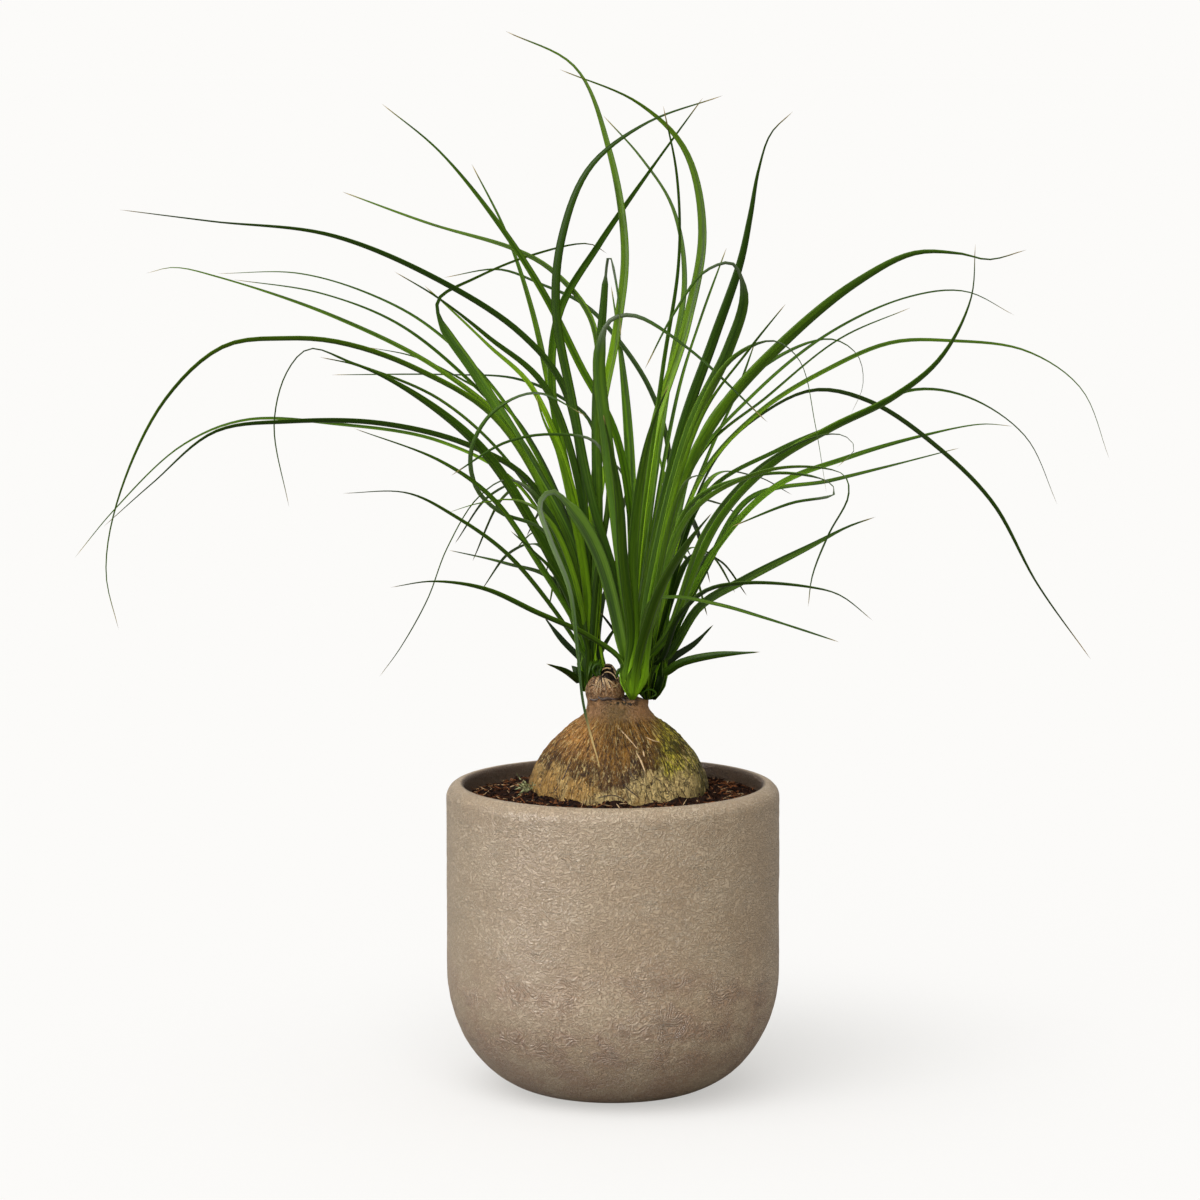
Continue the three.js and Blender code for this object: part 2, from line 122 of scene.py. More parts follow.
def turned(profile, columns, centre=(0, 0)):
    """A closed body of revolution. The profile runs from one point on the axis to another."""
    poles = [(*centre, profile[0][1]), (*centre, profile[-1][1])]
    points = np.vstack([round_rings(profile[1:-1], columns, centre), poles])
    return points, closed_faces(len(profile) - 2, columns)


def make_object(name, points, faces, material, smooth=True):
    """A mesh object from points in millimetres."""
    mesh = bpy.data.meshes.new(name)
    mesh.from_pydata((np.asarray(points) / 1000).tolist(), [], faces)
    mesh.polygons.foreach_set("use_smooth", [smooth] * len(mesh.polygons))
    mesh.materials.append(material)
    return add_object(name, mesh)


def stands_for(piece, cad_node):
    """The piece takes the place of a CAD node and moves with the plant, which is one rigid body."""
    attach(piece, "root")
    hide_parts(cad_node)


def roughness_field(points, size, octaves=3):
    """Smooth noise from about -1 to 1 at each point. The size is the breadth of its largest humps."""
    return np.array([noise.fractal(Vector(p / size), 1.0, 2.0, octaves) for p in points])


# The shader helpers, from here to finish_surface, add their nodes to the tree that was made last.


def plug(made, sockets):
    """Gives each named socket of a node a plain value, a #rrggbb colour or the output of another node."""
    for key, value in sockets.items():
        if isinstance(value, bpy.types.NodeSocket):
            tree.links.new(value, made.inputs[key])
        else:
            made.inputs[key].default_value = linear(value) if isinstance(value, str) else value
    return made


def node(kind, sockets, **settings):
    made = tree.nodes.new("ShaderNode" + kind)
    for key, value in settings.items():
        setattr(made, key, value)
    return plug(made, sockets)


def maths(operation, values, kind="Math"):
    """The values taken together two by two, from the first to the last."""
    total = values[0]
    for value in values[1:]:
        total = node(kind, {0: total, 1: value}, operation=operation).outputs[0]
    return total


def plus(*values):
    return maths("ADD", values)


def times(*values):
    return maths("MULTIPLY", values)


def larger(*values):
    return maths("MAXIMUM", values)


def away_from(level, value):
    """How far the value lies from the level, either way."""
    return node("Math", {0: plus(value, -level)}, operation="ABSOLUTE").outputs[0]


def between(value, low, high, to_low=0, to_high=1):
    """Maps low..high smoothly to to_low..to_high, and holds it there outside."""
    sockets = {"Value": value, "From Min": low, "From Max": high, "To Min": to_low, "To Max": to_high}
    return node("MapRange", sockets, interpolation_type="SMOOTHSTEP").outputs[0]


def painted(colour, *layers):
    """The colour with layers over it, each a share from 0 to 1 and the colour that it brings."""
    for share, over in layers:
        colour = node("Mix", {0: share, 6: colour, 7: over}, data_type="RGBA").outputs[2]
    return colour


def stretched(source, scale, shift=(0, 0, 0)):
    """The source's coordinates, scaled on each axis and then shifted."""
    return maths("ADD", (maths("MULTIPLY", (source, scale), "VectorMath"), shift), "VectorMath")


def split(vector):
    return node("SeparateXYZ", {0: vector}).outputs


def stored(name, output="Vector"):
    """What the mesh keeps under a name for each of its points."""
    return node("Attribute", {}, attribute_name=name).outputs[output]


def in_millimetres():
    """The place on the object, in millimetres."""
    return stretched(node("TexCoord", {}).outputs["Object"], (1000, 1000, 1000))


def bump(height, depth_mm, strength=1.0, under=None):
    """Relief of a depth in millimetres, on top of the relief under it."""
    sockets = {"Height": height, "Distance": depth_mm / 1000, "Strength": strength}
    return node("Bump", sockets if under is None else {**sockets, "Normal": under}).outputs[0]


def new_effect(name, result, **inputs):
    """An empty node group for an effect that several materials use: its tree, inputs and output node."""
    effect = bpy.data.node_groups.new(name, "ShaderNodeTree")
    for key, start in inputs.items():
        kind = "NodeSocketVector" if isinstance(start, tuple) else "NodeSocketFloat"
        effect.interface.new_socket(key, in_out="INPUT", socket_type=kind).default_value = start
    effect.interface.new_socket(result, in_out="OUTPUT", socket_type="NodeSocketFloat")
    return effect, effect.nodes.new("NodeGroupInput").outputs, effect.nodes.new("NodeGroupOutput")


tree, given, result = new_effect("speckle", "Speckle", Source=(0, 0, 0), Scale=(1, 1, 1), Shift=(0, 0, 0),
                                 Detail=2, Roughness=0.5, Distortion=0)
cloudy = {key: given[key] for key in ("Detail", "Roughness", "Distortion")}
cloudy["Vector"] = stretched(given["Source"], given["Scale"], given["Shift"])
plug(result, {"Speckle": node("TexNoise", {"Scale": 1.0, **cloudy}).outputs[0]})
speckle_effect = tree

tree, given, result = new_effect("fine_lines", "Lines", Speckle=0.5, Width=0.01)
plug(result, {"Lines": between(away_from(0.5, given["Speckle"]), 0, given["Width"], 1, 0)})
lines_effect = tree


def speckle(source, scale, detail, roughness, distortion=0.0, shift=(0, 0, 0)):
    """Cloudy noise from 0 to 1, with a scale for each axis or one for all."""
    scale = scale if isinstance(scale, tuple) else (scale,) * 3
    sockets = {"Source": source, "Scale": scale, "Shift": shift, "Detail": detail, "Roughness": roughness,
               "Distortion": distortion}
    return node("Group", sockets, node_tree=speckle_effect).outputs[0]


def fine_lines(cloud, width):
    """Thin winding lines where a speckle passes through its middle value."""
    return node("Group", {"Speckle": cloud, "Width": width}, node_tree=lines_effect).outputs[0]


def new_material(name):
    material = bpy.data.materials.new(name)
    material.use_nodes = True
    return material, material.node_tree, material.node_tree.nodes["Principled BSDF"]


def finish_surface(shader, colour, roughness, specular, relief):
    plug(shader, {"Base Color": colour, "Roughness": roughness, "Specular IOR Level": specular,
                  "Normal": relief})


taupe_plaster, tree, shader = new_material("taupe_plaster")
place = in_millimetres()
height = split(place)[2]
broad = speckle(place, (0.02, 0.02, 0.03), 4, 0.55)
patch = speckle(place, (0.055, 0.055, 0.075), 3, 0.6, shift=(7, 3, 1))
winding = {"Scale": 0.18, "Distortion": 44, "Detail": 1, "Detail Scale": 0.5, "Detail Roughness": 0.4}
swirls = node("TexWave", {"Vector": place, **winding}, wave_type="BANDS", bands_direction="DIAGONAL")
worms = speckle(place, (0.62, 0.62, 0.9), 0, 0.5, 1.4)
grain = speckle(place, 1.1, 2, 0.6, shift=(3, 3, 3))
creases = fine_lines(speckle(place, (0.05, 0.05, 0.4), 3, 0.6, 0.6, (11, 5, 2)), 0.014)
creases = times(creases, between(patch, 0.5, 0.62))
low_down = between(plus(height, times(broad, 70)), 128, 76)
pressed = times(between(patch, 0.46, 0.6), between(low_down, 0, 1, 0.35, 1), between(height, 14, 40, 0.1, 1))
crinkle = times(between(worms, 0.4, 0.6), between(broad, 0.36, 0.6, 0.85, 1.05))
skin = plus(times(swirls.outputs["Fac"], 0.75, pressed), crinkle, times(grain, 0.5))
from_middle = node("VectorMath", {0: stretched(place, (1, 1, 0))}, operation="LENGTH").outputs["Value"]
colour = painted(
    pot_shade,
    (between(broad, 0.34, 0.66, 0.3, 0.9), pot_taupe),
    (times(between(patch, 0.36, 0.62), low_down, 0.75), pot_rose),
    # Painted highlight on the crests of the wrinkles, and painted shade in their grooves.
    (between(skin, 0.95, 1.5, 0, 0.3), pot_pale_and_highlight),
    (between(skin, 0.6, 0.25, 0, 0.26), pot_painted_shade),
    (times(creases, 0.4), pot_pale_and_highlight),
    # Painted shade towards the bottom of the pot.
    (between(height, 60, 0, 0, 0.36), pot_painted_shade),
    # Painted shade down the inside of the wall, with a soil stain there too.
    (times(between(from_middle, 78.5, 76.5), between(height, 80, 100)), pot_inside_stain_and_shade),
)
relief = bump(creases, 0.3, 0.8, bump(skin, 0.66))
finish_surface(shader, colour, between(grain, 0.3, 0.7, 0.42, 0.54), 0.5, relief)

outside = np.vstack([
    [(0, 0)],
    np.stack([np.linspace(4, foot_radius, 9), np.zeros(9)], 1),
    arc(foot_radius, bowl_height, pot_radius - foot_radius, bowl_height, -90, 0, 60)[1:],
    np.stack([np.full(56, pot_radius), np.linspace(bowl_height, pot_height - lip_radius, 57)[1:]], 1),
    arc(pot_radius - lip_radius, pot_height - lip_radius, lip_radius, lip_radius, 0, 90, 12)[1:],
])
inside_radius = pot_radius - pot_wall
inner_lip = (inside_radius + inner_lip_radius, pot_height - inner_lip_radius)
inside = np.vstack([
    arc(*inner_lip, inner_lip_radius, inner_lip_radius, 90, 180, 5),
    np.stack([np.full(6, inside_radius), np.linspace(pot_height - 4, bowl_height, 6)], 1),
    arc(foot_radius, bowl_height, inside_radius - foot_radius, bowl_height - pot_wall, 0, -90, 14)[1:],
    [(18, pot_wall), (0, pot_wall)],
])
points, faces = turned(np.vstack([outside, inside]), 360)
distance = np.hypot(points[:, 0], points[:, 1])
outer_skin = np.clip((distance - inner_lip[0]) / 4, 0, 1) + (points[:, 2] < 40)
outer_skin = np.clip(outer_skin, 0, 1) * np.clip(points[:, 2] / 6, 0, 1)
dents = roughness_field(points, 26, 2) * 0.28 + roughness_field(points * (1, 1, 1.6) + 90, 7, 2) * 0.12
outward = np.stack([points[:, 0], points[:, 1], np.zeros(len(points))], 1) / np.maximum(distance, 1)[:, None]
points += outward * (dents * outer_skin)[:, None]
stands_for(make_object("plant_pot", points, faces, taupe_plaster), "pot")


# ---- Soil
# Potting soil, a mix of dark peat, bark chips and coconut fibre. It fills the pot to 8.5 mm under the lip and
# is a little higher round the stem base, which was pressed into it when the plant was potted.

soil_edge = 149.5
soil_mound = 5.0
soil_crumbs = 1.1
clearance = 0.3
stem_across = 2.8
stem_radius = 46.5
stem_middle = 150
socket_depth = 44.3
peat_dark = "#0e0704"
peat_brown = "#3a2114"
bark_red = "#9c6038"
coir_tan = "#eecb9a"


def soil_level(x, y):
    """How high the soil stands at a place: the mound round the stem base, and crumbs."""
    near_stem = np.clip((inside_radius - np.hypot(x - stem_across, y)) / (inside_radius - stem_radius), 0, 1)
    crumbs = np.sin(x * 0.31 + 1.3) * np.cos(y * 0.27) + np.sin(x * 0.17 - y * 0.43)
    return soil_edge + soil_mound * near_stem**1.5 + soil_crumbs * crumbs * np.minimum(1, near_stem * 4)


def joined(bodies):
    """One set of points and faces from several bodies, each with its own points and faces."""
    points, faces, start = [], [], 0
    for body_points, body_faces in bodies:
        points.append(body_points)
        faces += [tuple(start + k for k in face) for face in body_faces]
        start += len(body_points)
    return np.vstack(points), faces


def keep_values(piece, name, values):
    """Keeps a number, or three, for each point of a piece, for its material to read."""
    kind, field = ("FLOAT", "value") if values.ndim == 1 else ("FLOAT_VECTOR", "vector")
    piece.data.attributes.new(name, kind, "POINT").data.foreach_set(field, values.ravel())


potting_soil, tree, shader = new_material("potting_soil")
place = in_millimetres()
kind = stored("soil_kind", "Fac")
fine = speckle(place, 2.2, 2, 0.6)
colour = painted(
    peat_dark,
    (between(speckle(place, 0.6, 4, 0.7), 0.35, 0.7), peat_brown),
    (between(kind, 0.3, 0.75), bark_red),
    (between(kind, 0.78, 1), coir_tan),
    (between(fine, 0.3, 0.6, 0.7, 0), peat_dark),
)
finish_surface(shader, colour, 0.85, 0.08, bump(fine, 0.5))

rings, columns = 46, 300
turn = np.linspace(0, math.tau, columns, endpoint=False)
inner_edge, outer_edge = stem_radius + clearance, inside_radius - clearance
share = np.linspace(0, 1, rings)[:, None]
top_x = outer_edge * np.cos(turn) * (1 - share) + (stem_across + inner_edge * np.cos(turn)) * share
top_y = (outer_edge * (1 - share) + inner_edge * share) * np.sin(turn)
surface = np.stack([top_x, top_y, soil_level(top_x, top_y)], -1).reshape(-1, 3)
plan = surface * (1, 1, 0)
lumps = roughness_field(plan, 5.0, 4) * 0.9 + np.abs(roughness_field(plan + 40, 2.2, 2)) * 0.7
surface[:, 2] += lumps * np.repeat(np.clip(np.minimum(share, 1 - share) * 14, 0, 1), columns)
soil_floor = pot_wall + clearance
bowl = arc(foot_radius, bowl_height, outer_edge - foot_radius, bowl_height - soil_floor, -90, 0, 12)
socket = arc(0, stem_middle, inner_edge, socket_depth, 0, -90, 14)[1:-1]
points = np.vstack([round_rings(bowl, columns), surface, round_rings(socket, columns, (stem_across, 0)),
                    [(0, 0, soil_floor), (stem_across, 0, stem_middle - socket_depth)]])
bodies = [(points, closed_faces(len(bowl) + rings + len(socket), columns))]
soil_kinds = [np.zeros(len(points))]

# A lump is a twenty-sided body, whose corners are then moved: a point, two rings of five and a point.
fifths = np.radians(-72 * np.arange(5))
lump_rings = [(0.894 * math.cos(a + lag), 0.894 * math.sin(a + lag), z)
              for lag, z in ((-math.radians(36), -0.447), (-math.radians(72), 0.447)) for a in fifths]
lump_corners = np.round([(0, 0, -1), *lump_rings, (0, 0, 1)], 2)
lump_faces = []
for a, b in zip((1, 2, 3, 4, 5), (2, 3, 4, 5, 1)):
    lump_faces += [(0, a, b), (b, a, a + 5), (b, a + 5, b + 5), (b + 5, a + 5, 11)]
draws = np.random.RandomState(11)


def soil_spot():
    """A place on the open soil, between the stem base and the pot's wall."""
    while True:
        x, y = draws.uniform(-outer_edge, outer_edge, 2)
        if math.hypot(x, y) < outer_edge - 1.5 and math.hypot(x - stem_across, y) > inner_edge + 0.5:
            return x, y


for count, length, breadth, kind_range in (
    (1300, (0.6, 1.7), (0.6, 1.4), (0.0, 0.5)),
    (700, (1.2, 3.2), (0.4, 0.8), (0.0, 0.75)),
    (700, (2.5, 6.5), (0.2, 0.36), (0.3, 1.0)),
):
    for _ in range(count):
        x, y = soil_spot()
        long, wide = draws.uniform(*length), draws.uniform(*breadth)
        uneven = 1 + draws.uniform(-0.25, 0.25, (12, 1))
        shape = lump_corners * uneven * (long, wide, wide * draws.uniform(0.5, 0.9))
        spin, tilt = draws.uniform(0, math.tau), draws.normal(0, 0.35)
        shape[:, 2] += shape[:, 0] * math.sin(tilt)
        spun = shape[:, :2] @ ((math.cos(spin), math.sin(spin)), (-math.sin(spin), math.cos(spin)))
        to_wall = outer_edge - 0.4 - math.hypot(x, y)
        room = min(1, to_wall / long, (math.hypot(x - stem_across, y) - inner_edge) / long)
        level = float(soil_level(x, y)) + 0.4 + draws.uniform(-0.5, 0.9)
        bodies.append((np.column_stack([(x, y) + spun * room, level + shape[:, 2]]), lump_faces))
        soil_kinds.append(np.full(12, draws.uniform(*kind_range)))
soil = make_object("potting_soil", *joined(bodies), potting_soil)
keep_values(soil, "soil_kind", np.concatenate(soil_kinds))
stands_for(soil, "soil")


# ---- Stem base
# The swollen foot of the stem, which stores the plant's water. Its corky bark splits into fibres and cracks
# as it grows. The neck on it carries the knob of an old cut and the stubs of the three shoots beside it.

neck_radius = 15
bulb_depth = 44
stub_depth = 12
skin_voxel = 0.75
bark_gold = "#b9822c"
bark_amber = "#cf8f52"
bark_brown = "#573810"
bark_pale = "#ebd08c"
bark_crack = "#1d1004"
bark_rosy = "#b8895a"
bark_umber = "#4c300f"
bark_ash = "#dcc3a2"
moss_green = "#48440d"
moss_lime = "#d6c540"
head_left = np.array((-13.2, 2.0, 205.5))
head_front = np.array((10.0, -11.0, 202.2))
head_back = np.array((19.0, 3.0, 201.4))
heads = (head_left, head_front, head_back)

bark, tree, shader = new_material("corky_bark")
place = in_millimetres()
from_axis = stretched(place, (1, 1, 1), (-stem_across, 0, 0))
across, _, height = split(from_axis)
heading = node("VectorMath", {0: stretched(from_axis, (1, 1, 0))}, operation="NORMALIZE").outputs[0]


def fibrous(scale_round, scale_up, shift, *looks):
    """Speckle in streaks that run from the neck down the stem base."""
    around = stretched(heading, (scale_round,) * 3)
    up = stretched(from_axis, (0, 0, scale_up), (0, 0, shift))
    return speckle(maths("ADD", (around, up), "VectorMath"), 1, *looks)


fibres = fibrous(17, 0.12, 0, 5, 0.7, 0.9)
threads = fibrous(46, 0.35, 9, 3, 0.65, 0.8)
splits = fine_lines(fibrous(4.2, 0.03, 3, 3, 0.55, 1), 0.014)
felt_noise = speckle(place, (0.42, 0.42, 0.34), 3, 0.6, 1.2, (4, 1, 7))
felt = fine_lines(felt_noise, 0.07)
pits = between(speckle(place, 0.5, 2, 0.5, 0.4, (9, 9, 2)), 0.42, 0.33)
curls = node("TexNoise", {"Vector": stretched(place, (0.2, 0.2, 0.2)), "Scale": 1, "Detail": 3})
warped = maths("ADD", (stretched(place, (0.11, 0.11, 0.07)), curls.outputs["Color"]), "VectorMath")
cells = node("TexVoronoi", {"Vector": warped, "Scale": 1.0, "Randomness": 1.0}, feature="DISTANCE_TO_EDGE")
crackle = between(cells.outputs[0], 0, 0.035, 1, 0)
blotch = speckle(place, 0.05, 4, 0.6, 0.5, (2, 8, 5))
cloud = speckle(place, (0.07, 0.07, 0.1), 3, 0.55, 0.5, (6, 2, 1))
grit = speckle(place, 0.9, 3, 0.7)
streaks = speckle(place, (1.1, 1.1, 0.28), 3, 0.6, 1.6, (2, 6, 4))
worn_edge = plus(between(away_from(-3, across), 10, 5, 0, 5), between(across, 14, 28, 0, -6))
ragged_height = plus(height, times(blotch, 26), times(fibres, 18), worn_edge)
lower_part = between(ragged_height, 191, 188)
dark_band = between(ragged_height, 208, 196)
above_foot = between(plus(height, times(fibres, 14)), 169, 177)
mossy = times(between(across, 15, 25), between(blotch, 0.36, 0.5), above_foot)
on_neck = between(plus(height, times(cloud, 9)), 193.5, 201)
scar = times(between(away_from(207, plus(height, times(cloud, 12))), 2.4, 0.6),
             between(away_from(1.5, across), 12, 5), between(felt_noise, 0.42, 0.54))
hood = times(between(height, 209.5, 212), between(away_from(-5.1, across), 5.5, 3.5))
cracked = larger(between(blotch, 0.28, 0.4), between(across, -6, -16, 0, 0.9))
cracks = larger(times(splits, 0.8), times(crackle, lower_part, cracked))
cracks = times(cracks, between(height, 196, 190, 0, 0.85))
worn_skin = painted(
    bark_pale,
    (between(threads, 0.5, 0.36, 0, 0.85), bark_brown),
    (between(felt_noise, 0.46, 0.34, 0, 0.5), bark_brown),
    (times(felt, between(cloud, 0.35, 0.65, 0.2, 0.6)), bark_brown),
    (between(across, -5, 25, 0, 0.55), bark_pale),
    (between(across, -12, -34, 0, 0.2), bark_gold),
    (between(threads, 0.45, 0.36, 0, 0.65), bark_umber),
    (between(plus(cloud, times(across, -0.005)), 0.44, 0.7, 0.1, 0.6), bark_gold),
)
neck_skin = painted(
    bark_rosy,
    (between(streaks, 0.54, 0.4, 0, 0.85), bark_umber),
    (between(streaks, 0.56, 0.66, 0, 0.85), bark_ash),
    (between(height, 200, 204, 0.6, 0.1), bark_rosy),
    (larger(scar, hood, times(pits, 0.3)), bark_crack),
    (times(between(away_from(-1, across), 11, 2), between(height, 203, 197, 0, 0.55)), moss_green),
)
moss = painted(moss_green, (times(between(threads, 0.47, 0.58), between(cloud, 0.38, 0.52)), moss_lime))
colour = painted(
    bark_brown,
    (between(fibres, 0.42, 0.54), bark_gold),
    (times(between(across, -2, -16), between(height, 168, 180, 0, 0.6)), bark_amber),
    (times(dark_band, between(cloud, 0.62, 0.42, 0.45, 0.95)), bark_umber),
    (times(felt, between(height, 170, 182, 0.1, 0.7)), bark_gold),
    (between(threads, 0.54, 0.64, 0, 0.85), bark_pale),
    (between(threads, 0.47, 0.37, 0, 0.75), bark_crack),
    (times(between(across, 34, 8, 0, 0.4), between(across, -20, -5)), bark_umber),
    (times(pits, 0.35), bark_crack),
    (times(lower_part, between(fibres, 0.32, 0.5, 0.3, 0.95)), worn_skin),
    (on_neck, neck_skin),
    (times(mossy, between(fibres, 0.35, 0.5, 0.3, 0.95)), moss),
    (between(across, 35, 43, 0, 0.85), moss_green),
    (times(between(across, 28, 38), between(threads, 0.55, 0.64, 0, 0.6)), bark_pale),
    (cracks, bark_crack),
)
relief = bump(plus(fibres, times(felt, 0.35)), 1.8)
relief = bump(plus(grit, threads, times(cracks, -1), times(pits, -1)), 0.7, 0.8, relief)
finish_surface(shader, colour, 0.55, 0.18, relief)

shoulder = np.array([
    (46.5, 150), (46.2, 155), (45.2, 160), (43.4, 165.5), (39.4, 172.6), (34.8, 178.5), (29.6, 183.8),
    (24.2, 188.2), (19.4, 191.3), (16.4, 194.3), (15, 197), (14.7, 199), (14, 200.6), (11, 201.4),
])
passed = np.concatenate([[0], np.cumsum(np.hypot(*np.diff(shoulder, axis=0).T))])
even = np.linspace(0, passed[-1], 90)
shoulder = np.stack([np.convolve(np.pad(np.interp(even, passed, column), 4, "edge"), np.ones(9) / 9, "valid")
                     for column in shoulder.T], 1)
bulb = np.vstack([arc(0, stem_middle, stem_radius, bulb_depth, -90, 0, 30), shoulder, [(0, 201.5)]])
knob = [(0, 191), (9, 191), (8.6, 200), (9.6, 203), (9.8, 206.5), (8.4, 210), (6.2, 212.8), (3, 214.4),
        (0, 214.8)]
scar_hood = [(0, 206), (4.2, 206), (4.2, 211), (3.6, 215), (2.4, 217.6), (1.2, 218.6), (0, 218.8)]
stub = [(0, -stub_depth), (5, -stub_depth), (4, -6), (2.8, -3), (2.2, -1), (1.4, 0), (0, 0)]
bodies = [turned(bulb, 160, (stem_across, 0)), turned(knob, 48, (-4.4, -1.5)),
          turned(scar_hood, 32, (-2.3, 0))]
for head in heads:
    points, faces = turned(stub, 40)
    lean = points[:, 2:] * 0.8 / stub_depth * (head[0] - stem_across, head[1])
    points[:, :2] += head[:2] + lean
    points[:, 0] = np.minimum(points[:, 0], stem_across + neck_radius + 0.4)
    points[:, 2] += head[2] - 0.3
    bodies.append((points, faces))
rough_shape = make_object("rough_stem_base", *joined(bodies), bark)
remesh = rough_shape.modifiers.new("one skin", "REMESH")
remesh.mode = "VOXEL"
remesh.voxel_size = skin_voxel / 1000
rounding = rough_shape.modifiers.new("grown together", "SMOOTH")
rounding.factor = 0.5
rounding.iterations = 6
stem_mesh = bpy.data.meshes.new_from_object(rough_shape.evaluated_get(bpy.context.evaluated_depsgraph_get()))
bpy.data.objects.remove(rough_shape)


def mesh_vectors(mesh, field):
    """The place or the normal of each vertex of a mesh."""
    vectors = np.empty(len(mesh.vertices) * 3)
    mesh.vertices.foreach_get(field, vectors)
    return vectors.reshape(-1, 3)


points = mesh_vectors(stem_mesh, "co") * 1000
normals = mesh_vectors(stem_mesh, "normal")
spread = points - (stem_across, 0, 0)
unit = spread[:, :2] / np.maximum(np.hypot(spread[:, 0], spread[:, 1]), 0.5)[:, None]
fissures = np.abs(roughness_field(np.column_stack([unit * 9, spread[:, 2] * 0.06]), 1.0, 3))
swells = roughness_field(np.column_stack([unit * 2.2, spread[:, 2] * 0.02]), 1.0, 2)
flakes = roughness_field(points, 3.2, 3)
above_soil = np.clip((points[:, 2] - stem_middle) / 8, 0, 1)
off_bulb = 1 - np.clip((199 - points[:, 2]) / 8, 0, 1)
near_head = np.min([np.linalg.norm(points - head, axis=1) for head in heads], 0)
free = np.clip((near_head - 5) / 4, 0, 1)
cut_fibres = 1 - np.abs(roughness_field(points * (1, 1, 0.45) + 30, 2.1, 2)) * 2.4
swelling = (1 - off_bulb) * above_soil * (np.minimum(fissures * 3, 1) * 0.8 - 0.6 + swells * 0.7)
swelling += flakes * (0.25 + 0.3 * off_bulb) * above_soil * free + cut_fibres * 0.4 * off_bulb * free
swelling += roughness_field(points * (1, 1, 0.7) + 70, 6, 2) * off_bulb * free
points_of_stem = points + normals * swelling[:, None]
stem_mesh.vertices.foreach_set("co", (points_of_stem / 1000).ravel())
stem_mesh.polygons.foreach_set("use_smooth", [True] * len(stem_mesh.polygons))
stem = add_object("stem_base", stem_mesh)
stands_for(stem, "caudex")


# ---- Left head of leaves
# Long, tough, grass-like leaves in a dense rosette. Each grows from a pale sheath on the shoot, is folded
# like a shallow gutter, stripes lengthwise, and arches over as it gets older and thinner towards its tip.

